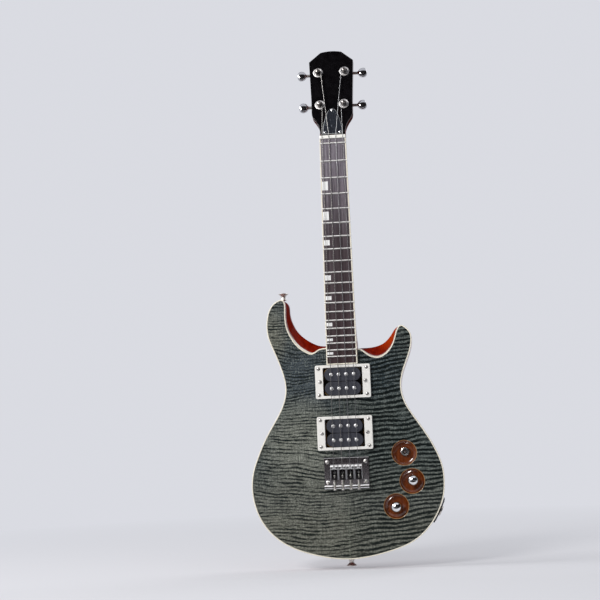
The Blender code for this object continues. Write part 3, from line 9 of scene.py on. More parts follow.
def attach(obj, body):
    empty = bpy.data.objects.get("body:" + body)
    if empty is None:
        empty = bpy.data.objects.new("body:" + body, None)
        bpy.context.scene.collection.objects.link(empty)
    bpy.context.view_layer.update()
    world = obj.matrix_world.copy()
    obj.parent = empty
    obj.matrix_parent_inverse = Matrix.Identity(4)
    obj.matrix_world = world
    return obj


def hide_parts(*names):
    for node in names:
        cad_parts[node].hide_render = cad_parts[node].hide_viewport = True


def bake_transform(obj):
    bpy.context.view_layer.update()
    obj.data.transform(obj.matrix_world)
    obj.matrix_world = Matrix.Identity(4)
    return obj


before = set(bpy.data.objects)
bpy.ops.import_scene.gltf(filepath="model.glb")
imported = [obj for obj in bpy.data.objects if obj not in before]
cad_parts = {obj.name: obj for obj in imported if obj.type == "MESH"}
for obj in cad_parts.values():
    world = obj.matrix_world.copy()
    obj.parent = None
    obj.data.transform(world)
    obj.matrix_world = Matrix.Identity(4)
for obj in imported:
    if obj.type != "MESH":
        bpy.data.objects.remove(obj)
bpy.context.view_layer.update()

# Shapes are drawn in millimetres and brought to metres as they are finished.
# A height is measured forwards from the body's top, so it runs along -Y.
TOP = -38.0
CORE_FRONT = -32.0
GAP = 0.3
SEAT = TOP - GAP
BINDING_WIDTH = 1.6
EDGE_STEP = 2.4
BACK_ROUND = 5.0
SCOOP_DEPTH = 19.0
BOARD_END, NUT_BACK, NUT_FRONT = 133.4, 438.3, 442.9
BOARD_TOP = SEAT - 6.0
POCKET_END = 133.9
HEEL_TOP = 161.5
HEEL_DEPTH = 28.0
NECK_DEPTH = 13.5
SCALE = 432.0
FRETS = 20
FRET_HEIGHT = 1.1
NUT_WIDTH, BOARD_WIDTH = 35.6, 41.5
NUT_SPACING, BRIDGE_SPACING = 9.27, 10.65
PICKUPS = {"neck": (110.8, 5.0, 6.7), "bridge": (42.5, 6.5, 7.5)}
BOWLS = ((76.9, 13.4), (85.8, -23.9), (63.5, -56.1))
TOGGLE, VOLUME, TONE = (77.8, 14.8), (87.0, -23.0), (63.4, -57.2)
BOWL_FLOOR = TOP + 8.8
BOWL_RADIUS = 16.0
MIDDLE = -19.0
JACK_SPOT, JACK_WAY = (119.0, -64.0), (0.89585, 0, -0.44435)
POSTS = ((-18.1, 94.0), (-16.4, 45.7), (16.4, 45.7), (18.1, 94.0))
WORM_OFFSET = 5.15
HEAD = Matrix.Translation((0, TOP, NUT_FRONT)) @ Matrix.Rotation(math.radians(-12), 4, "X")
HEAD_THICKNESS = 12.5
FACE = -GAP - 1.5
POST_HOLE = 4.6
STRING_GAUGES = (0.8, 1.0, 0.9, 0.7)
BRIDGE_SCREWS = [(sx * 25.4, z) for sx in (-1, 1) for z in (4.6, -22.2)]

# Edge of the body, x and z; four values where the edge of the top lies inside it.
OUTLINE = [
    (0, -123.6), (-49.0, -116.6), (-89.3, -99.6), (-114.0, -74.6), (-126.2, -43.0),
    (-126.4, -10.0), (-118.5, 14.5), (-103.5, 45.2), (-86.2, 74.0), (-77.8, 101.5),
    (-82.6, 129.5), (-92.5, 156.2), (-99.4, 177.1), (-99.8, 194.5), (-95.5, 211.1),
    (-88.0, 220.3), (-79.0, 223.8), (-73.2, 220.5, -75.0, 221.2), (-70.8, 208.0, -73.9, 208.0),
    (-67.2, 193.0, -73.7, 193.0), (-60.0, 180.5, -70.0, 178.5), (-49.2, 170.1, -59.0, 160.8),
    (-39.0, 163.8, -47.0, 151.8), (-31.8, 160.8, -38.5, 150.3), (-26.4, 159.9, -31.0, 154.9),
    (-20.8, 159.6, -20.8, 156.2), (20.8, 155.1, 20.8, 153.8), (29.0, 155.0, 27.2, 151.7),
    (37.2, 155.2, 34.0, 146.2), (45.4, 156.5, 43.0, 141.9), (54.9, 160.1, 54.5, 143.7),
    (62.4, 166.5, 63.7, 152.0), (67.9, 174.0, 69.7, 163.6), (72.2, 179.7, 73.3, 175.0),
    (78.5, 182.4), (86.8, 179.0), (92.1, 172.2), (93.2, 160.0), (89.6, 145.0), (82.6, 127.2),
    (76.9, 103.0), (82.0, 79.0), (94.5, 58.0), (109.2, 35.0), (120.5, 13.0), (127.2, -8.0),
    (128.4, -25.0), (126.2, -45.0), (119.0, -64.0), (103.5, -87.0), (84.5, -102.6),
    (55.0, -114.3),
]
HEAD_OUTLINE = [
    (16.7, 1.2), (17.1, 6.0), (17.5, 9.6), (18.1, 12.0), (19.2, 15.2), (20.8, 18.6),
    (22.7, 22.0), (24.9, 25.2), (26.6, 28.0), (27.6, 31.0), (28.0, 35.0), (28.1, 53.0),
    (30.3, 111.0), (14.4, 124.5), (11.0, 125.2), (7.0, 125.8), (3.5, 126.1),
]
HEAD_TOP = 126.2
FORWARD, BACKWARD = (0, -1, 0), (0, 1, 0)
STRING_HOLE = -9.5
DRIVE = -44.1


# ---------------------------------------------------------------- shapes

def start_ring(points, closed=True):
    """A ring, or a line, of edges through a few points."""
    bm = bmesh.new()
    verts = [bm.verts.new(point) for point in points]
    pairs = list(zip(verts, verts[1:])) + ([(verts[-1], verts[0])] if closed else [])
    return bm, verts, [bm.edges.new(pair) for pair in pairs]


def carry_ring(bm, verts, edges, points):
    """Extrudes a ring of edges and sets the new ring on the given points."""
    made = bmesh.ops.extrude_edge_only(bm, edges=edges)["geom"]
    fresh = {item for item in made if isinstance(item, bmesh.types.BMVert)}
    ring = []
    for vert, point in zip(verts, points):
        follower = next(edge.other_vert(vert) for edge in vert.link_edges
                        if edge.other_vert(vert) in fresh)
        follower.co = point
        ring.append(follower)
    pairs = zip(ring, ring[1:] + ring[:1])
    return ring, [edge for edge in (bm.edges.get(pair) for pair in pairs) if edge]


def tidy(bm):
    bmesh.ops.remove_doubles(bm, verts=bm.verts, dist=1e-4)
    bmesh.ops.recalc_face_normals(bm, faces=bm.faces)
    return bm


def shift_new(bm, made, move):
    """Moves the points that an extrusion has made."""
    fresh = [item for item in made["geom"] if isinstance(item, bmesh.types.BMVert)]
    bmesh.ops.translate(bm, vec=move, verts=fresh)


def drawn_through(rings, hollow=False):
    """A shape drawn from ring to ring: closed by flat ends, or back on to its first ring."""
    bm, verts, edges = start_ring(rings[0])
    first = edges
    for ring in rings[1:] + ([rings[0]] if hollow else []):
        verts, edges = carry_ring(bm, verts, edges, ring)
    if not hollow:
        bmesh.ops.contextual_create(bm, geom=first)
        bmesh.ops.contextual_create(bm, geom=edges)
    return tidy(bm)


def turned(profile, centre=(0, 0, 0), direction=(0, 0, 1), sides=48, closed=False):
    """A turned shape: a profile of radius and height spun about an axis."""
    bm, verts, edges = start_ring([(r, 0, h) for r, h in profile], closed)
    bmesh.ops.spin(bm, geom=verts + edges, cent=(0, 0, 0), axis=(0, 0, 1), dvec=(0, 0, 0),
                   angle=2 * math.pi, steps=sides, use_merge=True, use_duplicate=False)
    tidy(bm)
    return placed(bm, centre, direction)


def placed(bm, centre, direction=(0, 0, 1), spin=0.0):
    """Stands a shape's Z axis on a direction, with its origin at a centre."""
    turn = Vector((0, 0, 1)).rotation_difference(Vector(direction).normalized())
    matrix = Matrix.Translation(Vector(centre)) @ turn.to_matrix().to_4x4()
    bmesh.ops.transform(bm, matrix=matrix @ Matrix.Rotation(spin, 4, "Z"), verts=bm.verts)
    return bm


def on_head(bm):
    """Moves a shape from the headstock's own frame to the model's."""
    bmesh.ops.transform(bm, matrix=HEAD, verts=bm.verts)
    return bm


def extruded(points, move):
    """A flat shape through the points, drawn out into a solid."""
    bm, _, edges = start_ring(points)
    face = bmesh.ops.contextual_create(bm, geom=edges)["faces"]
    shift_new(bm, bmesh.ops.extrude_face_region(bm, geom=face), move)
    bmesh.ops.recalc_face_normals(bm, faces=bm.faces)
    return bm


def slab(outline, front, back):
    """A flat plate cut to an outline of x and z."""
    return extruded([(x, front, z) for x, z in outline], (0, back - front, 0))


def block(x, y, z):
    """A squared block between two values of x, y and z."""
    bm = bmesh.new()
    bmesh.ops.create_cube(bm, size=1.0)
    middle = [(low + high) / 2 for low, high in (x, y, z)]
    size = [abs(high - low) for low, high in (x, y, z)]
    bmesh.ops.scale(bm, vec=size, verts=bm.verts)
    bmesh.ops.translate(bm, vec=middle, verts=bm.verts)
    return bm


def rounded(bm, width, segments=3, angle=35, where=None):
    """Rounds the sharp edges, or those for which where(edge) holds."""
    bm.normal_update()
    sharp = [edge for edge in bm.edges
             if len(edge.link_faces) == 2 and edge.calc_face_angle(0) > math.radians(angle)
             and (where is None or where(edge))]
    bmesh.ops.bevel(bm, geom=sharp, offset=width, offset_type="OFFSET", segments=segments,
                    profile=0.5, affect="EDGES", clamp_overlap=True, material=-1)
    return bm


def at_y(level):
    return lambda edge: all(abs(vert.co.y - level) < 0.01 for vert in edge.verts)


def gathered(*parts):
    """Puts several shapes into one."""
    whole = bmesh.new()
    for part in parts:
        mesh = bpy.data.meshes.new("part")
        part.to_mesh(mesh)
        part.free()
        whole.from_mesh(mesh)
        bpy.data.meshes.remove(mesh)
    return whole


def copies(bm, places):
    """One copy of a shape for each (centre, direction, spin)."""
    master = bpy.data.meshes.new("master")
    bm.to_mesh(master)
    bm.free()
    parts = []
    for centre, direction, spin in places:
        part = bmesh.new()
        part.from_mesh(master)
        parts.append(placed(part, centre, direction, spin))
    bpy.data.meshes.remove(master)
    return gathered(*parts)


def cut(bm, *tools, operation="DIFFERENCE"):
    """Cuts the tools out of a shape with a Boolean, or unites them with it."""
    scratch = []
    for shape in (bm, gathered(*tools)):
        mesh = bpy.data.meshes.new("scratch")
        bmesh.ops.recalc_face_normals(shape, faces=shape.faces)
        shape.to_mesh(mesh)
        shape.free()
        scratch.append(bpy.data.objects.new("scratch", mesh))
        bpy.context.scene.collection.objects.link(scratch[-1])
    modifier = scratch[0].modifiers.new("cut", "BOOLEAN")
    modifier.operation = operation
    modifier.solver = "EXACT"
    modifier.object = scratch[1]
    view = bpy.context.evaluated_depsgraph_get()
    mesh = bpy.data.meshes.new_from_object(scratch[0].evaluated_get(view))
    result = bmesh.new()
    result.from_mesh(mesh)
    bpy.data.meshes.remove(mesh)
    for item in scratch:
        mesh = item.data
        bpy.data.objects.remove(item, do_unlink=True)
        bpy.data.meshes.remove(mesh)
    return result


def new_object(name, bm, finish):
    mesh = bpy.data.meshes.new(name)
    bm.to_mesh(mesh)
    bm.free()
    mesh.materials.append(finish.material)
    item = bpy.data.objects.new(name, mesh)
    bpy.context.scene.collection.objects.link(item)
    return item


def piece(name, bm, finish, body="instrument", sharp=35):
    """Finishes a shape and gives it its body; one that has a solid's name takes its place."""
    bmesh.ops.scale(bm, vec=(0.001, 0.001, 0.001), verts=bm.verts)
    item = new_object(name, bm, finish)
    item.data.shade_smooth()
    item.data.set_sharp_from_angle(angle=math.radians(sharp))
    item.modifiers.new("even flats", "WEIGHTED_NORMAL").keep_sharp = True
    if body:
        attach(item, body)
    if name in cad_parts:
        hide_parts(name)
    return item


def repaint(item, finishes, choose):
    """Adds finishes; choose(centre, normal) gives each face's number, 0 for the first one."""
    for finish in finishes:
        item.data.materials.append(finish.material)
    for face in item.data.polygons:
        face.material_index = int(choose(face.center * 1000, face.normal))


def arc(centre, radius, start, end, steps):
    angles = [math.radians(start + (end - start) * k / steps) for k in range(steps + 1)]
    return [(centre[0] + radius * math.cos(a), centre[1] + radius * math.sin(a)) for a in angles]


def rounded_rectangle(width, height, radius, centre):
    x, z = width / 2 - radius, height / 2 - radius
    points = []
    for sx, sz, first in ((1, 1, 0), (-1, 1, 90), (-1, -1, 180), (1, -1, 270)):
        points += arc((centre[0] + sx * x, centre[1] + sz * z), radius, first, first + 90, 6)
    return points


def stadium(length, width, centre):
    half = length / 2 - width / 2
    x, z = centre
    return (arc((x + half, z), width / 2, -90, 90, 20)
            + arc((x - half, z), width / 2, 90, 270, 20))


def hull_of_circles(centres, radius, sides=64):
    """The outline that a band stretched round circles of one radius would take."""
    bm = bmesh.new()
    for x, z in centres:
        ring = bmesh.ops.create_circle(bm, radius=radius, segments=sides)["verts"]
        bmesh.ops.translate(bm, vec=(x, z, 0), verts=ring)
    flat = [(vert.co.x, vert.co.y) for vert in bm.verts]
    bm.free()
    flat.sort()

    def half(points):
        chain = []
        for point in points:
            while len(chain) > 1:
                (ax, az), (bx, bz) = chain[-2:]
                if (bx - ax) * (point[1] - az) - (bz - az) * (point[0] - ax) > 1e-9:
                    break
                chain.pop()
            chain.append(point)
        return chain[:-1]

    return half(flat) + half(flat[::-1])


def body_edges():
    """Closed cubic curves of the full edge and of the top's edge, at matching points."""
    values = np.array([station[:2] + station[-2:] for station in OUTLINE], float)
    count = len(values)
    spans = np.linalg.norm(np.roll(values[:, :2], -1, axis=0) - values[:, :2], axis=1)
    matrix = np.zeros((count, count))
    slopes = (np.roll(values, -1, axis=0) - values) / spans[:, None]
    for i in range(count):
        matrix[i, i - 1] += spans[i - 1]
        matrix[i, i] += 2 * (spans[i - 1] + spans[i])
        matrix[i, (i + 1) % count] += spans[i]
    bend = np.linalg.solve(matrix, 6 * (slopes - np.roll(slopes, 1, axis=0)))
    samples = []
    for i in range(count):
        j = (i + 1) % count
        pieces = max(1, math.ceil(spans[i] / EDGE_STEP))
        for k in range(pieces):
            b = k / pieces
            a = 1 - b
            curve = ((a ** 3 - a) * bend[i] + (b ** 3 - b) * bend[j]) * spans[i] ** 2 / 6
            samples.append(a * values[i] + b * values[j] + curve)
    samples = np.array(samples)
    return samples[:, :2], samples[:, 2:]


def inset(loop, distance):
    along = np.roll(loop, -1, axis=0) - np.roll(loop, 1, axis=0)
    along /= np.linalg.norm(along, axis=1)[:, None]
    inward = np.stack([along[:, 1], -along[:, 0]], axis=1)
    return loop + inward * np.reshape(distance, (-1, 1))


def even_radius(loop):
    """Radius of the edge's own bend, evened out along it."""
    before = loop - np.roll(loop, 1, axis=0)
    after = np.roll(loop, -1, axis=0) - loop
    lengths = np.linalg.norm(before, axis=1), np.linalg.norm(after, axis=1)
    turn = np.abs(before[:, 0] * after[:, 1] - before[:, 1] * after[:, 0])
    radius = (lengths[0] + lengths[1]) / 2 / np.maximum(turn / (lengths[0] * lengths[1]), 1e-3)
    for _ in range(12):
        radius = np.minimum(radius, (np.roll(radius, 1) + np.roll(radius, -1)) / 2)
    return radius


def edge_at(full, top, depth):
    share = min(depth / SCOOP_DEPTH, 1.0) ** 1.5
    return top + (full - top) * share


def level(loop, y):
    return [(x, y, z) for x, z in loop]


def half_board(z):
    share = (NUT_FRONT - z) / (NUT_FRONT - BOARD_END)
    return (NUT_WIDTH + (BOARD_WIDTH - NUT_WIDTH) * share) / 2


def string_x(index, z):
    return (index - 1.5) * (BRIDGE_SPACING + (NUT_SPACING - BRIDGE_SPACING) * z / NUT_BACK)


def fret_z(number):
    return SCALE * 2 ** (-number / 12)


STRING_XS = [string_x(i, 0) for i in range(4)]


# ---------------------------------------------------------------- finishes

class Value:
    """A node's output; arithmetic on it adds the nodes that work it out."""

    def __init__(self, graph, socket):
        self.graph, self.socket = graph, socket

    def maths(self, kind, other=0.0):
        return self.graph.node("Math", {0: self, 1: other}, operation=kind)

    def __add__(self, other):
        return self.maths("ADD", other)

    def __sub__(self, other):
        return self.maths("SUBTRACT", other)

    def __mul__(self, other):
        return self.maths("MULTIPLY", other)

    def __abs__(self):
        return self.maths("ABSOLUTE")

    def spread(self, low, high, to_low=0.0, to_high=1.0):
        """Stretches the range from low to high over another one."""
        return self.graph.node("MapRange", {"Value": self, "From Min": low, "From Max": high,
                                            "To Min": to_low, "To Max": to_high})


class Graph:
    """The nodes of a material or of the world."""

    def __init__(self, owner):
        owner.use_nodes = True
        self.tree = owner.node_tree

    def node(self, kind, inputs=None, output=0, **settings):
        """Adds a node and gives its output; an input is a number or another output."""
        item = self.tree.nodes.new("ShaderNode" + kind)
        for key, value in settings.items():
            setattr(item, key, value)
        for key, value in (inputs or {}).items():
            if isinstance(value, Value):
                self.tree.links.new(value.socket, item.inputs[key])
            else:
                item.inputs[key].default_value = value
        return Value(self, item.outputs[output])

    def seen(self):
        """1 for what the camera sees by itself or in a reflection."""
        rays = self.node("LightPath").socket.node.outputs
        return Value(self, rays["Is Camera Ray"]).maths(
            "MAXIMUM", Value(self, rays["Is Glossy Ray"]))

    def show_mix(self, share, first, second):
        """Puts a mix of two shaders on the surface."""
        blend = self.node("MixShader", {0: share, 1: first, 2: second})
        end = self.tree.get_output_node("ALL")
        self.tree.links.new(blend.socket, end.inputs["Surface"])


class Finish(Graph):
    """A procedural material, laid out over the object's own coordinates."""

    def __init__(self, name, **sockets):
        self.material = bpy.data.materials.new(name)
        super().__init__(self.material)
        self.shader = self.tree.nodes["Principled BSDF"]
        for socket, value in sockets.items():
            self.shader.inputs[socket.replace("_", " ")].default_value = value

    def wire(self, socket, value):
        self.tree.links.new(value.socket, self.shader.inputs[socket])

    def place(self, scale=(1, 1, 1), shift=(0, 0, 0)):
        """Object coordinates in millimetres, scaled and shifted."""
        where = self.node("TexCoord", output="Object")
        return self.node("Mapping", {"Vector": where, "Scale": [1000 * s for s in scale],
                                     "Location": shift})

    def axes(self):
        parts = self.node("SeparateXYZ", {"Vector": self.place()}).socket.node.outputs
        return [Value(self, parts[axis]) for axis in "XYZ"]

    def noise(self, where, detail=3.0, roughness=0.5, distortion=0.0):
        """Soft noise at a place, or at one with these scales."""
        vector = where if isinstance(where, Value) else self.place(where)
        return self.node("TexNoise", {"Vector": vector, "Scale": 1.0, "Detail": detail,
                                      "Roughness": roughness, "Distortion": distortion}, "Fac")

    def mix(self, share, first, second):
        colours = {key: colour if isinstance(colour, Value) else (*colour, 1)
                   for key, colour in ((6, first), (7, second))}
        return self.node("Mix", {0: share, **colours}, 2, data_type="RGBA")

    def tones(self, share, first, second):
        self.wire("Base Color", self.mix(share, first, second))

    def overlay(self, share, colour):
        """Lays a colour over the base colour."""
        below = Value(self, self.shader.inputs["Base Color"].links[0].from_socket)
        self.tones(share, below, colour)

    def bump(self, height, strength):
        self.wire("Normal", self.node("Bump", {"Height": height, "Strength": strength,
                                               "Distance": 0.0002}))


def blob(x, z, centre, size):
    """1 at a place on the front, falling to 0 at its rim."""
    across, along = (x - centre[0]) * (1 / size[0]), (z - centre[1]) * (1 / size[1])
    return (across * across + along * along).spread(1.0, 0.1)


def lacquered_mahogany(name, dark, light):
    """Straight grain with dark pores under a clear red lacquer, glossiest along its edges."""
    m = Finish(name, Roughness=0.25, Specular_IOR_Level=0.0, Coat_Roughness=0.03)
    pores = m.noise((2.6, 2.6, 0.09), 2)
    m.tones(m.noise((0.22, 0.22, 0.012), 4, 0.6, 0.4).spread(0.35, 0.68), dark, light)
    m.overlay(m.noise((0.03, 0.03, 0.006), 2).spread(0.3, 0.7, 0, 0.7),
              tuple((low + high) / 2 for low, high in zip(dark, light)))
    m.overlay(pores.spread(0.60, 0.72, 0, 0.6), (0.06, 0.004, 0.001))
    x, _, z = m.axes()
    # Painted light: the wall of the right cutaway, which faces the light, is painted a brighter
    # orange
    m.overlay(blob(x, z, (74, 170), (34, 26)) * 0.8,
              tuple(a * b for a, b in zip(light, (1.7, 3.0, 1.5))))
    skim = m.node("LayerWeight", {"Blend": 0.5}, "Facing")
    m.wire("Coat Weight", skim.spread(0.88, 0.98, 0.04, 1.0))
    m.bump(pores, 0.05)
    return m


def bound_edge():
    """Cream binding; in the cutaways the red lacquer runs up over part of its side."""
    m = moulded("cream binding", (0.80, 0.75, 0.63), 0.30, 0.03, 0.2)
    x, y, z = m.axes()
    depth = x.maths("GREATER_THAN").spread(0, 1, z.spread(200.0, 162.0, 0.3, 4.4),
                                           z.spread(178.0, 150.0, 0.4, 3.4))
    cutaway = abs(x).maths("LESS_THAN", 76.0) * z.maths("GREATER_THAN", 138.0)
    m.overlay(cutaway * (y - TOP).maths("GREATER_THAN", depth), (0.20, 0.010, 0.001))
    return m


def ripples(x, height, period, strength, width, shift):
    """Dark bands across the grain: even waves whose depth comes and goes along them."""
    where = x.graph.node("CombineXYZ", {"X": x * 0.026, "Y": shift, "Z": height * 0.075})
    wave = (height * (2 * math.pi / period)).maths("SINE")
    return wave.spread(*width) * x.graph.noise(where, 2).spread(0.36, 0.62, *strength)


def stained_maple():
    """Book-matched flame maple, stained blue-green and grey; its bowl walls are mahogany."""
    m = Finish("stained flame maple", Roughness=0.30, Specular_IOR_Level=0.06,
               Coat_Roughness=0.04)
    x, y, z = m.axes()
    right = x.spread(-8.0, 34.0)
    wander = m.noise((0.011, 0.01, 0.014), 1) * 26.0
    shake = m.noise((0.045, 0.05, 0.12), 3, 0.65) * 4.5
    fray = m.noise((0.24, 0.2, 0.7), 2, 0.7) * 2.6
    height = z - abs(x) * x.spread(-6.0, 6.0, 0.045, 0.125) + wander + (shake + fray)
    band = right.spread(0, 1, ripples(x, height, 4.5, (0.10, 1.25), (-0.30, 0.90), 3.0),
                        ripples(x, height, 5.9, (0.70, 1.30), (-0.70, 0.70), 8.0))
    streak = m.noise((0.07, 0.05, 0.85), 4, 0.75)
    dark = band + streak.spread(0.36, 0.64, -0.35, 0.72)
    # Broad fields of tone: bluer above and browner below; the pale patch left of the pickups is a
    # painted sheen, and the pale patch on the upper-left horn is a painted highlight
    field = m.noise(m.place((0.018, 0.02, 0.015), (3.1, 0, 7.2)), 2)
    light = m.mix(field.spread(0.36, 0.64), (0.092, 0.108, 0.112), (0.128, 0.138, 0.130))
    low = z.spread(10.0, -90.0, 0.0, 0.85)
    for share, tone in ((blob(x, z, (-46, 122), (56, 56)), (0.064, 0.080, 0.096)),
                        # painted sheen, left of the pickups
                        (blob(x, z, (-62, 25), (62, 75)), (0.235, 0.245, 0.210)),
                        # painted highlight, on the upper-left horn's edge
                        (blob(x, z, (-98, 172), (26, 46)), (0.200, 0.200, 0.165)),
                        (low, (0.175, 0.175, 0.138)),
                        (right * 0.80, (0.112, 0.134, 0.128)),
                        (low * 0.85, (0.205, 0.205, 0.170)),
                        (blob(x, z, (48, 122), (44, 48)), (0.060, 0.080, 0.092))):
        light = m.mix(share, light, tone)
    deep = m.mix(right, (0.009, 0.012, 0.013), (0.0020, 0.0040, 0.0046))
    m.tones(dark, light, m.mix(low, deep, (0.011, 0.014, 0.013)))
    # Fine grain along the wood, short dark flecks low on the left, the joint in the middle
    open_wood = dark.spread(0.1, 0.8, 1.0, 0.1)
    hair = m.noise((1.0, 1.0, 0.030), 3, 0.7)
    mottle = m.noise((0.55, 0.5, 0.50), 2, 0.6)
    fleck = m.noise(m.place((0.13, 0.1, 0.62), (0, 0, 4)), 1).spread(0.60, 0.70)
    for share, tone in ((hair.spread(0.50, 0.34, 0, 0.55), (0.010, 0.015, 0.015)),
                        (hair.spread(0.52, 0.72, 0, 0.40) * open_wood, (0.32, 0.34, 0.30)),
                        (mottle.spread(0.52, 0.34, 0, 0.50), (0.010, 0.014, 0.014)),
                        (mottle.spread(0.52, 0.68, 0, 0.50) * open_wood, (0.32, 0.35, 0.30)),
                        (fleck * blob(x, z, (-74, -44), (26, 30)), (0.010, 0.013, 0.013)),
                        (abs(x).spread(0.55, 0.10) * 0.5, (0.16, 0.18, 0.14))):
        m.overlay(share, tone)
    # The wall of a bowl: a thin tan rim, then bare mahogany
    wall = m.node("Attribute", output="Fac", attribute_name="bowl wall")
    m.overlay(wall, m.mix(y.spread(TOP + 0.75, TOP + 0.60), (0.12, 0.026, 0.005),
                          (0.32, 0.165, 0.065)))
    m.wire("Coat Weight", wall.spread(0.0, 1.0, 0.22, 1.0))
    m.bump(hair, 0.03)
    return m


def bare_mahogany():
    """Oiled brown mahogany in the bowls."""
    m = Finish("bowl mahogany", Roughness=0.22, Specular_IOR_Level=0.25, Coat_Weight=1.0,
               Coat_Roughness=0.04)
    pores = m.noise((3.0, 3.0, 0.15), 2)
    m.tones(m.noise((0.35, 0.35, 0.02), 4, 0.6).spread(0.35, 0.65), (0.115, 0.024, 0.005),
            (0.185, 0.042, 0.008))
    m.overlay(pores.spread(0.6, 0.72, 0, 0.6), (0.07, 0.02, 0.006))
    m.bump(pores, 0.05)
    return m


def moulded(name, colour, roughness=0.35, speckle=0.12, coat=0.0, scale=0.8):
    """Plastic with a faint cloudiness in its colour and its gloss."""
    m = Finish(name, Coat_Weight=coat, Coat_Roughness=0.08)
    cloud = m.noise((scale,) * 3, 4, 0.6)
    m.tones(cloud.spread(0.3, 0.7), tuple(c * (1 - speckle) for c in colour),
            tuple(min(1.0, c * (1 + speckle)) for c in colour))
    m.wire("Roughness", cloud.spread(0.3, 0.7, roughness * 0.8, roughness * 1.2))
    return m


def flecked_plastic():
    """Dark slate plastic with small pale flecks."""
    m = moulded("slate plastic", (0.010, 0.013, 0.021), 0.28, 0.45, 0.1, 1.6)
    m.overlay(m.noise((0.62,) * 3, 1).spread(0.69, 0.75, 0, 0.8), (0.30, 0.34, 0.38))
    return m


def plated(name, colour, roughness=0.08, wear=0.4, skim=(1.0, 1.0, 1.0)):
    """Plated metal: the plating's tone and polish drift a little over the surface."""
    m = Finish(name, Metallic=1.0, Specular_Tint=(*skim, 1.0))
    cloud = m.noise((1.4,) * 3, 4, 0.6)
    m.tones(cloud.spread(0.35, 0.7), colour, tuple(c * (1 - 0.12 * wear) for c in colour))
    m.wire("Roughness", cloud.spread(0.3, 0.75, roughness * (1 - 0.4 * wear),
                                     roughness * (1 + wear)))
    return m


def darkened_chrome_plate():
    """Chrome painted darker for the dark room its flats reflect, with painted shade where the
    saddles stand.
    """
    m = plated("chrome with painted dark reflection", (0.56, 0.515, 0.525), 0.12)
    x, _, z = m.axes()
    # Painted shade: the plate is darker where the saddles stand over it
    m.overlay(abs(x).spread(22.0, 20.5) * abs(z + 9.5).spread(9.5, 8.5), (0.030, 0.028, 0.030))
    return m


def baseplate_metal():
    """Plated sheet, painted almost black below the level of the body's top as shade in the
    cavity; the screw heads that stand in the ring keep the plating's pale tone.
    """
    m = plated("baseplate metal", (0.72, 0.70, 0.68), 0.32)
    # Painted shade: near black deeper than the body's top
    m.overlay(m.axes()[1].spread(-38.5, -38.0), (0.030, 0.028, 0.027))
    return m


def fretboard_wood():
    """Dark rosewood with lighter streaks and open pores, paler near the nut."""
    m = Finish("rosewood", Roughness=0.42, Specular_IOR_Level=0.30)
    streak = m.noise((0.55, 0.4, 0.010), 4, 0.6, 0.3).spread(0.34, 0.66)
    pores = m.noise((4.2, 2.0, 0.16), 2)
    z = m.axes()[2]
    m.tones(streak, (0.028, 0.018, 0.022), (0.100, 0.078, 0.090))
    m.overlay(z.spread(300.0, 405.0, 0, 0.9),
              m.mix(streak, (0.105, 0.090, 0.110), (0.24, 0.215, 0.25)))
    m.overlay(z.spread(330.0, 150.0, 0, 0.75), (0.034, 0.015, 0.016))
    m.overlay(pores.spread(0.58, 0.70, 0, 0.7), (0.012, 0.006, 0.007))
    m.bump(pores, 0.12)
    return m


def black_lacquer():
    """Gloss black lacquer with the faintest waviness."""
    m = Finish("black lacquer", Specular_IOR_Level=0.4)
    cloud = m.noise((0.12,) * 3)
    m.tones(cloud.spread(0.3, 0.7), (0.0020, 0.0017, 0.0022), (0.0045, 0.0040, 0.0048))
    m.wire("Roughness", cloud.spread(0.3, 0.7, 0.07, 0.13))
    return m


def pearl():
    """Pearl with soft bands of pale tones."""
    m = Finish("pearl", Roughness=0.18, Coat_Weight=0.6)
    m.tones(m.noise((0.35,) * 3, 4, 0.6, 1.5).spread(0.35, 0.65), (0.84, 0.85, 0.85),
            (0.95, 0.94, 0.93))
    return m


def wound_wire():
    """Wire wound round a core, with a fine ridge for each turn."""
    m = plated("string winding", (0.30, 0.29, 0.28), 0.25, 0.5)
    pitch = 0.35
    m.bump(m.node("TexWave", {"Vector": m.place(), "Scale": 1 / (pitch * 6.283),
                              "Distortion": 0.0}, "Fac", bands_direction="Z"), 0.08)
    return m


def pickup_tape():
    """Amber tape in random patches with near black, which is painted shade where the tape lies
    deep in the pickup.
    """
    m = Finish("amber tape", Roughness=0.3)
    m.tones(m.noise((0.11,) * 3, 3, 0.6).spread(0.46, 0.60), (0.010, 0.006, 0.004),
            (0.42, 0.25, 0.06))
    return m


def copper_winding():
    """Hair-thin copper wire laid round the coil."""
    m = Finish("copper winding", Metallic=0.8, Roughness=0.35)
    turns = m.node("TexWave", {"Vector": m.place(), "Scale": 1.2, "Distortion": 0.4,
                               "Detail": 2.0}, "Fac", bands_direction="Y")
    m.tones(turns, (0.30, 0.10, 0.03), (0.62, 0.26, 0.09))
    return m


MAHOGANY = lacquered_mahogany("cherry mahogany", (0.11, 0.0025, 0.0005), (0.27, 0.0135, 0.0009))
HEAD_SIDES_PAINTED_DARK = lacquered_mahogany("mahogany painted dark for reflections", (0.030, 0.0030, 0.0014), (0.060, 0.0050, 0.0020))
MAPLE = stained_maple()
BOWL_WOOD = bare_mahogany()
CREAM = bound_edge()
IVORY = moulded("ivory plastic", (0.79, 0.775, 0.74), 0.33, 0.02)
BONE = moulded("nut bone", (0.86, 0.85, 0.80), 0.30, 0.04)
ROSEWOOD = fretboard_wood()
LACQUER = black_lacquer()
PEARL = pearl()
SLATE = flecked_plastic()
BOBBIN = moulded("bobbin plastic", (0.038, 0.040, 0.053), 0.36, 0.10)
PALE_LAYER = moulded("pale layer", (0.55, 0.56, 0.58), 0.3, 0.05)
COVER = moulded("black cover plastic", (0.022, 0.022, 0.024), 0.45, 0.15)
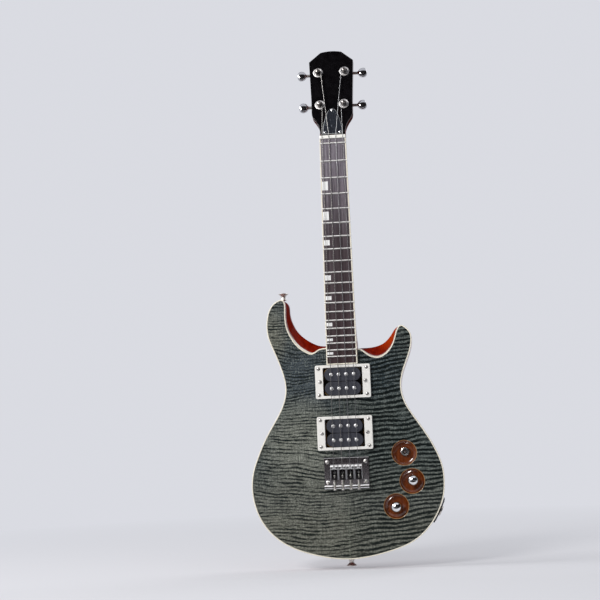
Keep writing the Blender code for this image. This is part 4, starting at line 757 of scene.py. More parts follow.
CHROME = plated("chrome", (0.94, 0.94, 0.95), 0.06)
TUNER = plated("tuner chrome", (0.62, 0.62, 0.64), 0.09, skim=(0.22, 0.22, 0.24))
STEM = plated("tuner post chrome", (0.50, 0.47, 0.45), 0.26, skim=(0.3, 0.3, 0.3))
WASHER = plated("washer nickel", (0.70, 0.685, 0.68), 0.42)
NICKEL = plated("nickel", (0.66, 0.62, 0.58), 0.16)
STRAP = plated("strap nickel", (0.72, 0.70, 0.67), 0.44)
JACK = plated("black nickel", (0.055, 0.052, 0.052), 0.14, skim=(0.2, 0.2, 0.2))
UNDERSIDE = baseplate_metal()
FRET_WIRE = plated("fret wire", (1.0, 0.99, 0.97), 0.52)
SCREW = plated("screw steel", (0.88, 0.86, 0.83), 0.34)
GRUB = plated("grub screw steel", (0.10, 0.10, 0.10), 0.30)
DULL_SCREW = plated("dull screw steel", (0.72, 0.70, 0.68), 0.32)
POLE = plated("pole steel", (1.0, 1.0, 1.0), 0.50)
BRIGHT = plated("saddle chrome", (0.98, 0.97, 0.98), 0.05)
DARKENED_CHROME = darkened_chrome_plate()
SADDLE_PAINTED_DARK = plated("saddle chrome with painted dark reflection", (0.075, 0.068, 0.070), 0.14)
SATIN = plated("satin chrome", (1.0, 1.0, 1.0), 0.46)
STEEL = plated("steel", (0.60, 0.60, 0.61), 0.26)
STRING_STEEL = plated("string steel", (0.30, 0.30, 0.31), 0.28)
STRING_WOUND = wound_wire()
BRASS = plated("brass", (0.70, 0.50, 0.22), 0.28)
RUBBER = moulded("rubber", (0.02, 0.02, 0.02), 0.6, 0.2)
TAPE = pickup_tape()
COPPER = copper_winding()


# ---------------------------------------------------------------- body

def pickup_cavity(centre, low, high):
    """The hollow for a pickup: a rectangle with a tab at each side."""
    wide, tall, tab, tab_tall = 54.4, 38.2, 66.8, 13.0
    corner = [(wide / 2, -tab_tall / 2), (tab / 2, -tab_tall / 2), (tab / 2, tab_tall / 2),
              (wide / 2, tab_tall / 2), (wide / 2, tall / 2)]
    outline = corner + [(-x, z) for x, z in reversed(corner)]
    outline = outline + [(-wide / 2, -tall / 2), (wide / 2, -tall / 2)]
    return slab([(x, z + centre) for x, z in outline], low, high)


def neck_pocket():
    half = half_board(BOARD_END) + GAP
    return block((-half, half), (TOP - 10, TOP + HEEL_DEPTH + GAP), (POCKET_END - GAP, 175))


def in_bowl(point, reach):
    return any(math.hypot(point.x - x, point.z - z) < reach for x, z in BOWLS)


def bowl_cutter(centre):
    profile = [(0, 29.2), (9.9, 29.2), (11.4, 29.35), (12.8, 29.65), (14.0, 30.2), (15.0, 30.8),
               (15.7, 31.4), (BOWL_RADIUS, 32.0), (BOWL_RADIUS, 45.0), (0, 45.0)]
    return turned(profile, (centre[0], 0, centre[1]), FORWARD, 72)


def rod(centre, direction, radius, low, high, sides=32):
    return turned([(0, low), (radius, low), (radius, high), (0, high)], centre, direction, sides)


def string_holes(radius, low, high):
    return [rod((x, 0, STRING_HOLE), BACKWARD, radius, low, high) for x in STRING_XS]


def pickup_cavities(low, high):
    return [pickup_cavity(centre, low, high) for centre, _, _ in PICKUPS.values()]


def build_body():
    full, top = body_edges()
    rings = [level(edge_at(full, top, depth), TOP + depth)
             for depth in (6.0, 7.2, 8.5, 10.0, 11.6, 13.2, 14.8, 16.4, 17.8, 19.0)]
    rings += [level(full, -(SCOOP_DEPTH + BACK_ROUND) / 2), level(full, -BACK_ROUND)]
    rounding = np.minimum(BACK_ROUND, 0.5 * even_radius(full))
    for angle in (12, 25, 38, 51, 64, 77, 90):
        turn = math.radians(angle)
        rings.append(level(inset(full, rounding * (1 - math.cos(turn))),
                           -BACK_ROUND * (1 - math.sin(turn))))
    controls = (TOGGLE, VOLUME, TONE)
    core = cut(drawn_through(rings), neck_pocket())
    core = cut(core, *pickup_cavities(TOP - 10, TOP + 21),
               slab(hull_of_circles(controls, 11.5), -25.0, 10.0))
    core = cut(core, slab(hull_of_circles(controls, 16.5), -2.4, 10.0),
               *[bowl_cutter(centre) for centre in BOWLS], *string_holes(1.7, -45, 5))
    core = cut(core, *[rod((x, 0, z), BACKWARD, 4.3, -35, -20) for x, z in controls],
               *string_holes(3.7, -1.6, 5),
               rod((JACK_SPOT[0], MIDDLE, JACK_SPOT[1]), JACK_WAY, 10.0, -36, 10))
    core = piece("body_core", core, MAHOGANY, sharp=30)
    repaint(core, [BOWL_WOOD],
            lambda centre, _: -32.1 < centre.y < -28.9 and in_bowl(centre, BOWL_RADIUS + 0.2))

    inner = inset(top, BINDING_WIDTH)
    cap = slab([tuple(p) for p in inset(top, BINDING_WIDTH + 0.05)], TOP, CORE_FRONT - GAP)
    cap = cut(cut(cap, neck_pocket()), *pickup_cavities(TOP - 10, 0),
              *[rod((x, 0, z), FORWARD, BOWL_RADIUS, 20, 50, 96) for x, z in BOWLS],
              *string_holes(1.7, -50, 0))

    def bowl_rim(edge):
        middle = (edge.verts[0].co + edge.verts[1].co) / 2
        return at_y(TOP)(edge) and any(
            abs(math.hypot(middle.x - x, middle.z - z) - BOWL_RADIUS) < 0.3 for x, z in BOWLS)

    rounded(cap, 1.0, 5, where=bowl_rim)
    cap = piece("maple_top", cap, MAPLE, sharp=30)
    wall = cap.data.attributes.new("bowl wall", "FLOAT", "POINT")
    for vert in cap.data.vertices:
        spot = vert.co * 1000
        inside = spot.y > TOP + 0.02 and in_bowl(spot, BOWL_RADIUS + 0.9)
        wall.data[vert.index].value = float(inside)

    rings = [level(edge_at(full, top, depth), TOP + depth) for depth in (0.0, 1.5, 3.0, 4.5, 5.7)]
    rings += [level(inner, CORE_FRONT - GAP), level(inner, TOP)]
    binding = rounded(cut(drawn_through(rings, hollow=True), neck_pocket()), 0.55, 4,
                      where=at_y(TOP))
    piece("body_binding", binding, CREAM)


def neck_section(half, front, depth, z, power):
    points = []
    for i in range(37):
        angle = math.pi * i / 36
        c, s = math.cos(angle), math.sin(angle)
        points.append(Vector((half * math.copysign(abs(c) ** (2 / power), c),
                              front + depth * s ** (2 / power), z)))
    return points


def build_neck():
    stations = [(POCKET_END, half_board(BOARD_END), HEEL_DEPTH, 14),
                (HEEL_TOP, half_board(BOARD_END), HEEL_DEPTH, 14)]
    for share, power in ((0.12, 10), (0.25, 7), (0.4, 5.2), (0.55, 4), (0.68, 3.3), (0.8, 2.8),
                         (0.9, 2.5), (1.0, 2.3)):
        z = HEEL_TOP + 34.0 * share
        stations.append((z, half_board(z), NECK_DEPTH + 1.2 + 13.3 * (1 - share) ** 1.8, power))
    for z, depth, power in ((fret_z(5), 14.0, 2.2), (425.0, 13.5, 2.3), (434.0, 13.5, 2.6),
                            (NUT_FRONT, 13.5, 3.0)):
        stations.append((z, half_board(z), depth, power))
    rings = [neck_section(half, TOP, depth, z, power) for z, half, depth, power in stations]
    outline = [(w, h) for w, h in HEAD_OUTLINE if h > 5] + [(1.0, HEAD_TOP)]
    for w, h in outline:
        rings.append([HEAD @ point for point in neck_section(w, 0, HEAD_THICKNESS, h, 16)])
    neck = drawn_through([[tuple(point) for point in ring] for ring in rings])
    neck = cut(neck, block((-3, 3), (TOP - 10, TOP + 8), (POCKET_END + 12, NUT_FRONT - 4)))
    neck = cut(neck, on_head(block((-5.5, 5.5), (-6, 6.5), (-6, 29.5))),
               *[on_head(rod((x, 0, h), BACKWARD, POST_HOLE, -10, 20)) for x, h in POSTS])
    rounded(neck, 0.5, 2, 40, where=lambda edge: min(v.co.z for v in edge.verts) > 452)
    neck = piece("neck", neck, MAHOGANY, sharp=30)
    # The headstock's sides are painted a dark wine so that the chrome tuners beside them show
    # dark reflections: a painted reflection
    repaint(neck, [HEAD_SIDES_PAINTED_DARK],
            lambda centre, normal: centre.z > NUT_FRONT + 8 and abs(normal.x) > 0.6)

    face = [(-w, h) for w, h in HEAD_OUTLINE] + [(0.0, HEAD_TOP)]
    face += [(w, h) for w, h in reversed(HEAD_OUTLINE)]
    sheet = cut(slab(face, FACE, -GAP),
                *[rod((x, 0, h), BACKWARD, POST_HOLE, -5, 5) for x, h in POSTS],
                block((-5, 5), (-5, 5), (-5, 29)))
    rounded(sheet, 0.4, 3, where=at_y(FACE))
    piece("headstock_face", on_head(sheet), LACQUER)


def build_fingerboard():
    low, high = BOARD_END, NUT_BACK - GAP
    strip = BINDING_WIDTH
    (z0, w0), (z1, w1) = [(z, half_board(z)) for z in (low, high)]
    inlet = strip + 0.1
    board = slab([(inlet - w0, low + inlet), (w0 - inlet, low + inlet), (w1 - inlet, high),
                  (inlet - w1, high)], BOARD_TOP, SEAT)
    slots = []
    for number in range(FRETS):
        z = fret_z(number)
        inner = half_board(z) - strip - 0.3
        slots.append(block((-inner, inner), (BOARD_TOP - 1, BOARD_TOP + 1.8), (z - 0.3, z + 0.3)))
    piece("fingerboard", cut(board, *slots), ROSEWOOD)

    wires = []
    for number in range(FRETS):
        z = fret_z(number)
        half = half_board(z) - 0.3
        crown = arc((0, 0), 1.0, 0, 180, 10)
        profile = [(-half, BOARD_TOP - 0.03 - FRET_HEIGHT * s, z + c) for c, s in crown]
        bm, verts, edges = start_ring(profile)
        for x in (-half + 0.7, half - 0.7, half):
            verts, edges = carry_ring(bm, verts, edges, [(x, p[1], p[2]) for p in profile])
        for vert in [v for v in bm.verts if abs(abs(v.co.x) - half) < 0.01]:
            rise = BOARD_TOP - 0.03 - vert.co.y
            vert.co.x -= math.copysign(0.45 * rise, vert.co.x)
            vert.co.z = z + (vert.co.z - z) * 0.9
        bmesh.ops.holes_fill(bm, edges=bm.edges, sides=0)
        wires.append(tidy(bm))
        wires.append(block((-half + 2, half - 2), (BOARD_TOP - 0.4, BOARD_TOP + 1.5),
                           (z - 0.28, z + 0.28)))
    piece("fret_wires", gathered(*wires), FRET_WIRE)

    marks = []
    for number, size in ((3, 12.0), (5, 11.6), (7, 7.3), (10, 6.9), (12, 5.5), (15, 4.8),
                         (17, 3.6), (19, 3.4)):
        z = (fret_z(number) + fret_z(number - 1)) / 2
        left = -half_board(z) + strip + 0.15
        mark = block((left, left + 7.8), (BOARD_TOP - 0.05, BOARD_TOP + 1.2),
                     (z - size / 2, z + size / 2))
        marks.append(rounded(mark, 0.12, 2))
    piece("position_blocks", gathered(*marks), PEARL)

    outer = [(-w1, z1), (-w0, z0), (w0, z0), (w1, z1), (w1 - strip, z1),
             (w0 - strip, z0 + strip), (-w0 + strip, z0 + strip), (-w1 + strip, z1)]
    edge = rounded(slab(outer, BOARD_TOP, SEAT), 0.4, 3, where=at_y(BOARD_TOP))
    piece("fingerboard_binding", edge, CREAM)

    half = half_board(NUT_FRONT) - 0.3
    nut = block((-half, half), (TOP - 8.2, SEAT), (NUT_BACK, NUT_FRONT))
    rounded(nut, 1.0, 4, where=at_y(TOP - 8.2))
    grooves = [block((x - 0.7, x + 0.7), (TOP - 12, BOARD_TOP - 1.0),
                     (NUT_BACK - 2, NUT_FRONT + 2))
               for x in (string_x(i, NUT_BACK) for i in range(4))]
    piece("nut", cut(nut, *grooves), BONE)


# ---------------------------------------------------------------- screws

def cross_head(radius, height, sink=0.9):
    """A domed screw head with a cross recess, standing on z = 0."""
    head = turned([(0, height)] + [(radius * math.sin(a), height * math.cos(a) ** 0.8)
                                   for a in (0.35, 0.7, 1.0, 1.25, 1.45)]
                  + [(radius, 0.0), (radius * 0.9, -0.15), (0, -0.15)], sides=28)
    for turn in (0, math.pi / 2):
        bar = block((-radius * 0.55, radius * 0.55), (-radius * 0.13, radius * 0.13),
                    (height - sink * 0.6, height + 1))
        head = cut(head, placed(bar, (0, 0, 0), spin=turn))
    return rounded(head, 0.05, 1, 50)


def slot_head(radius, height):
    """A flat-topped pole or screw head with one slot."""
    head = turned([(0, height), (radius * 0.35, height * 0.96), (radius * 0.62, height * 0.84),
                   (radius * 0.84, height * 0.64), (radius * 0.96, height * 0.4),
                   (radius, height * 0.15), (radius, -0.1), (0, -0.1)], sides=36)
    return cut(head, block((-radius * 1.2, radius * 1.2), (-0.46, 0.46),
                           (height - 0.8, height + 1)))


def build_truss_cover():
    low, high = 2.0, 39.5
    half = [(13.4, low), (13.2, low + 4), (12.8, low + 8), (12.0, low + 13), (10.6, low + 19.5),
            (8.6, low + 26.5), (6.9, low + 31.0), (4.8, low + 34.6), (2.6, low + 36.7),
            (0.0, high)]
    outline = [(-x, z) for x, z in half] + [(x, z) for x, z in reversed(half[:-1])]
    back = FACE - GAP
    cover = rounded(slab(outline, back - 1.2, back), 0.45, 1, where=at_y(back - 1.2))
    cover = piece("truss_rod_cover", on_head(cover), SLATE, sharp=20)
    ahead = HEAD.to_3x3() @ Vector(FORWARD)
    repaint(cover, [PALE_LAYER], lambda _, normal: 0.4 < normal.dot(ahead) < 0.97)
    places = [((x, back - 1.2, h), FORWARD, turn)
              for x, h, turn in ((-10.1, 4.2, 0.4), (10.1, 4.2, 1.0), (0, 36.7, 0.1))]
    piece("truss_cover_screws", on_head(copies(cross_head(1.9, 0.9), places)), CHROME)


# ---------------------------------------------------------------- pickups

def build_pickup(name, centre, ring_height, bobbin_top):
    front = SEAT - ring_height
    ring = slab(rounded_rectangle(73.4, 44.6, 2.2, (0, centre)), front, SEAT)
    ring = cut(ring, slab(rounded_rectangle(52.4, 37.2, 1.2, (0, centre)), front - 5, SEAT + 5))
    rounded(ring, 0.9, 4, 40, where=at_y(front))
    corners = [(sx * 32.0, centre + sz * 17.6) for sx in (-1, 1) for sz in (-1, 1)]
    sides = [(sx * 30.3, centre) for sx in (-1, 1)]
    seats = [turned([(0, 1.0), (2.8, 1.0), (2.75, 0), (2.4, -0.5), (0, -0.5)], (x, front, z),
                    FORWARD, 32) for x, z in corners]
    seats += [turned([(0, 1.0), (2.7, 1.0), (2.6, -0.5), (1.6, -1.3), (1.4, -9), (0, -9)],
                     (x, front, z), FORWARD, 32) for x, z in sides]
    ring = cut(ring, *seats)
    piece(f"pickup_ring_{name}", ring, IVORY)
    turns = (0.3, 1.1, 0.7, 1.4)
    heads = [((x, front + 0.2, z), FORWARD, turn) for (x, z), turn in zip(corners, turns)]
    piece(f"ring_screws_{name}", copies(cross_head(2.2, 1.1), heads), DULL_SCREW)
    heads = [((x, front + 0.35, z), FORWARD, 0.5) for x, z in sides]
    piece(f"height_screw_heads_{name}", copies(cross_head(2.2, 1.0), heads), DULL_SCREW)

    face = TOP - bobbin_top
    for number, row in ((1, 1), (2, -1)):
        z = centre + row * 9.3
        spool = drawn_through([level(stadium(length, width, (0, z)), face + depth)
                               for length, width, depth in (
                                   (47.2, 17.2, 0.0), (47.8, 17.8, 0.15), (48.0, 18.0, 0.45),
                                   (48.0, 18.0, 1.5), (35.7, 5.7, 1.5), (35.7, 5.7, 9.5),
                                   (48.0, 18.0, 9.5), (48.0, 18.0, 11.0))])
        pits = [rod((x, face, z), FORWARD, 0.62, -0.9, 1, 20) for x in (-10.0, 0.0, 10.0)]
        spool = cut(spool, *pits)
        piece(f"pickup_bobbin_{name}_{number}", spool, BOBBIN)
        coil = drawn_through([level(stadium(length, width, (0, z)), face + depth)
                              for length, width, depth in (
                                  (45.6, 15.6, 1.6), (46.2, 16.2, 2.4), (46.2, 16.2, 8.6),
                                  (45.6, 15.6, 9.4))])
        piece(f"coil_{name}_{number}", coil, COPPER)
        spins = (0.1, -0.15, 0.0, 0.2) if row > 0 else (-0.1, 0.05, 0.15, -0.2)
        heads = [((x, face, z), FORWARD, spin)
                 for x, spin in zip((-15.0, -5.0, 5.0, 15.0), spins)]
        piece(f"pole_screws_{name}_{number}", copies(slot_head(2.45, 1.0), heads), POLE)
    wrap = drawn_through([
        level(rounded_rectangle(width, height, 7.0, (0, centre)), face + depth)
        for width, height, depth in ((50.6, 36.2, 5.4), (50.6, 36.2, 10.8), (50.0, 35.6, 10.8),
                                     (50.0, 35.6, 5.4))], hollow=True)
    piece(f"coil_tape_{name}", wrap, TAPE)


# ---------------------------------------------------------------- bridge

def build_bridge():
    plate = SEAT - 2.2
    bar = SEAT - 8.8
    base = block((-29.5, 29.5), (plate, SEAT), (-30.9, 10.6))
    rear = block((-29.5, 29.5), (bar, plate + 0.6), (-30.9, -25.6))
    base = cut(base, rear, operation="UNION")

    def long_edge(edge):
        first, second = (vert.co for vert in edge.verts)
        return abs(first.x - second.x) > 20

    rounded(base, 2.3, 6, 40, where=lambda edge: at_y(bar)(edge) and long_edge(edge))
    rounded(base, 1.9, 6, 40, where=lambda edge: at_y(plate)(edge) and long_edge(edge)
            and edge.verts[0].co.z > 0)
    rounded(base, 0.6, 3, 40, where=lambda edge: max(v.co.y for v in edge.verts) < SEAT - 0.1)
    base = cut(base, *string_holes(1.7, -50, -30),
               *[rod((x, DRIVE, 0), (0, 0, 1), 1.7, -35, -20) for x in STRING_XS])
    base = cut(base, *[block((x - 1.7, x + 1.7), (bar - 2, DRIVE), (-35, -20))
                       for x in STRING_XS])
    seats = [turned([(0, 1), (3.2, 1), (3.0, 0), (2.2, -0.5), (0, -0.5)], (x, plate, z),
                    FORWARD) for x, z in BRIDGE_SCREWS]
    base = piece("bridge_plate", cut(base, *seats), DARKENED_CHROME)

    # The plate's flats keep the chrome painted dark, a painted dark reflection; its sloped edges
    # are bright chrome, and those of the raised bar are satin chrome
    def finish_number(centre, normal):
        on_edge = 0.05 < -normal.y < 0.985 and centre.y < plate + 1.5
        return on_edge * (1 + (centre.y < plate - 2))

    repaint(base, [BRIGHT, SATIN], finish_number)
    heads = [((x, plate + 0.2, z), FORWARD, turn)
             for (x, z), turn in zip(BRIDGE_SCREWS, (0.2, 0.9, 1.3, 0.6))]
    piece("bridge_screws", copies(cross_head(2.6, 1.5, 1.2), heads), SCREW)

    back, crest = plate - 1.0, TOP - 10.7
    side = [(1.1, back), (1.1, crest + 3.5), (0.9, crest + 2.1), (0.4, crest + 1.1),
            (-0.4, crest + 0.35), (-1.4, crest), (-2.4, crest + 0.15), (-3.4, crest + 0.7),
            (-4.3, crest + 1.3), (-5.2, crest + 1.6), (-18.9, crest + 1.6), (-18.9, back)]
    for i, x in enumerate(STRING_XS, 1):
        body = f"saddle_block_{i}"
        saddle = rounded(extruded([(x - 4.9, y, z) for z, y in side], (9.8, 0, 0)), 0.35, 2, 50)
        window = rounded_rectangle(5.0, 11.6, 2.4, (x, -10.6))
        saddle = cut(saddle, slab(window, crest - 4, back + 4))
        saddle = cut(saddle, block((x - 0.8, x + 0.8), (crest - 4, crest + 0.5), (-6, 3)),
                     rod((x, DRIVE, 0), (0, 0, 1), 1.5, -21, -15))
        spots = [(x + sx * 3.2, crest, -3.0) for sx in (-1, 1)]
        saddle = cut(saddle, *[rod(spot, FORWARD, 1.35, -2, 2, 24) for spot in spots])
        saddle = piece(f"saddle_{i}", saddle, BRIGHT, body)
        # Painted reflection: behind its ridge the chrome saddle is painted near black, for the
        # dark room its top and sides reflect; its sloped side edges stay bright chrome and its
        # ridge is satin chrome
        repaint(saddle, [SADDLE_PAINTED_DARK, SATIN],
                lambda centre, normal: 2 if centre.z > -5.0 else not (
                    0.1 < -normal.y < 0.985 and abs(centre.x - x) > 4.4))
        grubs = [cut(turned([(0, -1.4), (1.0, -1.4), (1.2, -1.6), (1.2, -6.6), (0.9, -6.9),
                             (0, -6.9)], spot, FORWARD, 20), rod(spot, FORWARD, 0.6, -2.6, 1, 6))
                 for spot in spots]
        piece(f"saddle_height_screws_{i}", gathered(*grubs), GRUB, body)

        drive = turned([(0, 1.5), (1.6, 1.5), (2.1, 1.3), (2.4, 0.9), (2.4, 0.0), (1.2, 0.0)]
                       + [(1.2 if k % 2 else 0.98, -0.6 - k * 0.25) for k in range(62)]
                       + [(1.3, -16.6), (1.45, -17.2), (1.4, -18.0), (1.0, -18.7), (0, -18.9)],
                       (x, DRIVE, -31.2), (0, 0, -1), 24)
        for wide, tall in ((1.4, (-44.35, -43.85)), (0.25, (-45.5, -42.7))):
            drive = cut(drive, block((x - wide, x + wide), tall, (-35, -32.1)))
        piece(f"intonation_screw_{i}", drive, SCREW, f"saddle_drive_{i}")

        turns, steps = 6, 14
        path = [Vector((x + 1.75 * math.cos(2 * math.pi * k / steps),
                        DRIVE + 1.75 * math.sin(2 * math.pi * k / steps),
                        -25.3 + 6.1 * k / (turns * steps))) for k in range(turns * steps + 1)]
        spring = piece(f"saddle_spring_{i}", tube(path, 0.24, 8), SCREW, None)
        x / 1000
        x / 1000
        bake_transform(spring)


def tube(path, radius, sides=12):
    """A round wire along a path, its ring of edges carried from point to point."""
    rings = []
    side = None
    for k, point in enumerate(path):
        before, after = path[max(k - 1, 0)], path[min(k + 1, len(path) - 1)]
        along = (after - before).normalized()
        side = along.orthogonal().normalized() if side is None else side
        side = (side - along * side.dot(along)).normalized()
        other = along.cross(side)
        rings.append([tuple(point + radius * (side * math.cos(2 * math.pi * n / sides)
                                              + other * math.sin(2 * math.pi * n / sides)))
                      for n in range(sides)])
    return drawn_through(rings)


def build_strings():
    for index, gauge in enumerate(STRING_GAUGES):
        radius = gauge / 2
        x = STRING_XS[index]
        lift = TOP - 11.0 - radius
        route = [(x, y, STRING_HOLE) for y in (-4.5, -20, -38, -40.5)]
        route += [(x, -42.5, -8.9), (x, -44.4, -7.0), (x, -46.4, -4.4),
                  (x, lift + 0.9, -2.2), (x, lift + 0.2, -1.4), (x, lift, -0.6)]
        top = BOARD_TOP - FRET_HEIGHT - 2 * GAP - radius
        for share in (0.03, 0.25, 0.5, 0.75, 1.0):
            z = SCALE * share
            route.append((string_x(index, z), lift + (top - lift) * share, z))
        nut_x = string_x(index, NUT_BACK)
        route += [(nut_x, top, NUT_BACK), (nut_x, top + 0.1, NUT_FRONT - 0.4)]
        post_x, post_h = POSTS[(1, 0, 3, 2)[index]]
        inner = 1 if post_x < 0 else -1
        wrap = 3.3 + radius
        local = HEAD.inverted() @ Vector(route[-1])
        away = math.atan2(post_x - local.x, post_h - local.z)
        reach = math.hypot(post_x - local.x, post_h - local.z)
        lean = away + inner * math.asin(wrap / reach)
        first = math.atan2(-inner * math.sin(lean), inner * math.cos(lean))
        steps = 56
        for k in range(steps + 1):
            angle = first + inner * 2 * math.pi * 1.9 * k / steps
            point = Vector((post_x + wrap * math.cos(angle),
                            -7.0 + (2 * radius + 0.2) * 1.9 * k / steps,
                            post_h + wrap * math.sin(angle)))
            route.append(HEAD @ point)
        finish = STRING_WOUND if index in (0, 1) else STRING_STEEL
        string = tube([Vector(point) for point in route], radius, 14)
        piece(f"string_{index + 1}", string, finish)
        ball = turned([(1.2, -6.0), (2.0, -5.8), (2.2, -5.2), (2.2, -3.0), (2.0, -2.5),
                       (1.2, -2.3)], (x, 0, STRING_HOLE), BACKWARD, 32, closed=True)
        piece(f"ball_end_{index + 1}", ball, BRASS)
    ferrules = [turned([(1.7, -7.6), (2.5, -7.6), (2.5, -1.5), (3.6, -1.5), (3.6, -0.35),
                        (3.3, -0.05), (2.9, 0.0), (2.5, -0.3), (2.3, -1.0), (2.3, -6.6),
                        (1.7, -6.8)], (x, 0, STRING_HOLE), BACKWARD, 48, closed=True)
                for x in STRING_XS]
    piece("string_ferrules", gathered(*ferrules), NICKEL)


# ---------------------------------------------------------------- tuners

def build_tuners():
    back = HEAD_THICKNESS + GAP
    for number, (x, h) in enumerate(POSTS, 1):
        side = 1 if x > 0 else -1
        washer = turned([(3.3, back - 0.6), (3.3, FACE - 2.1), (3.6, FACE - 2.3),
                         (4.1, FACE - 2.3), (4.4, FACE - 2.0), (4.42, FACE - 0.7),
                         (5.25, FACE - 0.7), (5.3, FACE - 1.2), (5.5, FACE - 1.3),
                         (6.3, FACE - 1.25), (6.6, FACE - 1.1), (6.8, FACE - 0.8),
                         (6.9, FACE - 0.45), (6.85, FACE - 0.3), (4.3, FACE - 0.3),
                         (4.3, back - 0.6)], (x, 0, h), BACKWARD, 56, closed=True)
        piece(f"tuner_bushing_{number}", on_head(washer), WASHER)

        low, worm_y = back + 1.8, back + 3.1
        centre_h = h + WORM_OFFSET / 2
        plan = rounded_rectangle(13.0, 18.5, 3.0, (x, centre_h))
        box = drawn_through([[(x + (px - x) * grow, back + depth,
                               centre_h + (pz - centre_h) * tall)
                              for px, pz in plan]
                             for depth, grow, tall in ((0, 1, 1), (6.0, 1, 1), (7.2, 0.97, 0.98),
                                                       (8.2, 0.90, 0.93), (8.8, 0.80, 0.86),
                                                       (9.0, 0.70, 0.78))])
        box = cut(box, rod((x, worm_y, h + WORM_OFFSET), (side, 0, 0), 1.65, -4.2, 10, 32),
                  rod((x, 0, h), BACKWARD, 3.8, back - 1, low + 2.9, 36))
        piece(f"tuner_housing_{number}", on_head(box), CHROME)

        tip = FACE - 8.8
        post = turned([(0, tip), (2.1, tip + 0.05), (2.6, tip + 0.25), (2.85, tip + 0.6),
                       (2.97, tip + 1.2), (3.0, tip + 2.0), (2.9, tip + 2.8),
                       (2.62, tip + 3.4), (2.55, tip + 4.2), (2.58, FACE - 3.4),
                       (2.9, FACE - 2.8), (3.0, FACE - 2.2), (3.0, low), (3.5, low + 0.2),
                       (3.5, low + 2.4), (3.2, low + 2.6), (0, low + 2.6)],
                      (x, 0, h), BACKWARD, 48)
        eye = rod((x, FACE - 6.0, h), (1, 0, 0.3), 0.7, -5, 5, 20)
        slit = block((x - 0.45, x + 0.45), (tip - 1, tip + 1.4), (h - 2.3, h + 2.3))
        piece(f"tuner_post_{number}", on_head(cut(post, eye, slit)), STEM, f"post_{number}")

        start = 23.8 - 6.2
        sections = [(-3.6, 1.35, 1.35), (6.8, 1.35, 1.35), (6.85, 2.6, 2.6), (7.9, 2.6, 2.6),
                    (8.2, 2.1, 2.1), (start - 1.4, 2.0, 2.0), (start - 0.2, 2.4, 2.4),
                    (start + 0.5, 3.0, 2.4), (start + 1.6, 4.6, 2.9), (start + 3.2, 5.9, 3.3),
                    (start + 5.2, 6.7, 3.5), (start + 7.2, 7.0, 3.5), (start + 9.2, 6.7, 3.5),
                    (start + 10.8, 5.6, 3.2), (start + 11.8, 4.2, 2.5), (start + 12.3, 2.4, 1.5),
                    (start + 12.4, 0.8, 0.6)]
        rings = []
        for reach, tall, thick in sections:
            ring = []
            for k in range(40):
                angle = 2 * math.pi * k / 40
                c, s = math.cos(angle), math.sin(angle)
                power = 0.86 if tall > 3 else 1.0
                ring.append((x + side * reach,
                             worm_y + thick * math.copysign(abs(s) ** power, s),
                             h + WORM_OFFSET + tall * math.copysign(abs(c) ** power, c)))
            rings.append(ring)
        button = piece(f"tuner_button_{number}", on_head(drawn_through(rings)), TUNER,
                       f"button_{number}")
        repaint(button, [STEM], lambda centre, _: abs(centre.x - x) < start - 0.3)


# ---------------------------------------------------------------- controls

def build_controls():
    for name, (x, z) in (("volume", VOLUME), ("tone", TONE)):
        base = -BOWL_FLOOR + 3.6
        tall = 13.5
        knob = turned([(0, 22.4), (3.0, 22.4), (3.0, base + 1.5), (5.8, base + 1.5),
                       (6.3, base), (6.75, base), (6.82, base + 0.4), (6.85, base + 3.0),
                       (7.05, base + 6.0)]
                      + [(7.5 * math.cos(math.radians(a)),
                          base + tall - 7.5 + 7.5 * math.sin(math.radians(a)))
                         for a in (8, 16, 24, 32, 40, 48, 56, 64, 72, 80, 86)]
                      + [(0, base + tall)], (x, 0, z), FORWARD, 72)
        piece(f"{name}_knob", knob, CHROME, name)
        nut = turned([(3.4, 29.5), (5.6, 29.5), (5.6, 31.2), (5.2, 31.6), (3.4, 31.6)],
                     (x, 0, z), FORWARD, 6, closed=True)
        piece(f"{name}_nut", nut, NICKEL)

    x, z = TOGGLE
    collar = turned([(4.3, 29.5), (6.0, 29.5), (6.0, 32.2), (5.7, 32.9), (5.1, 33.1),
                     (4.3, 32.7)], (x, 0, z), FORWARD, 96, closed=True)
    cuts = [placed(block((5.75, 7.0), (-0.17, 0.17), (29.0, 32.5)), (x, 0, z), FORWARD,
                   2 * math.pi * k / 30) for k in range(30)]
    piece("toggle_nut", cut(collar, *cuts), NICKEL)
    lever = turned([(0, -6.2), (0.9, -6.2), (1.2, -5.6)]
                   + [(2.9 * math.cos(math.radians(a)), 2.9 * math.sin(math.radians(a)))
                      for a in (-60, -40, -20, 0, 20, 40, 60)]
                   + [(1.28, 3.4), (1.28, 11.0), (1.38, 13.0), (1.6, 14.6), (1.72, 15.8),
                      (1.6, 16.9), (1.1, 17.6), (0, 17.8)], (x, -28.0, z), FORWARD, 40)
    piece("toggle_lever", lever, CHROME, "lever")

    controls = (TOGGLE, VOLUME, TONE)
    cover = slab(hull_of_circles(controls, 16.2), -2.1, -GAP)
    rounded(cover, 0.35, 2, where=at_y(-GAP))
    piece("control_cover", cover, COVER)
    outline = hull_of_circles(controls, 14.0, 16)
    spots = [outline[len(outline) * k // 4] for k in range(4)]
    heads = [((px, -1.0, pz), BACKWARD, 0.3 + pz) for px, pz in spots]
    piece("control_cover_screws", copies(cross_head(1.9, 0.9), heads), STEEL)


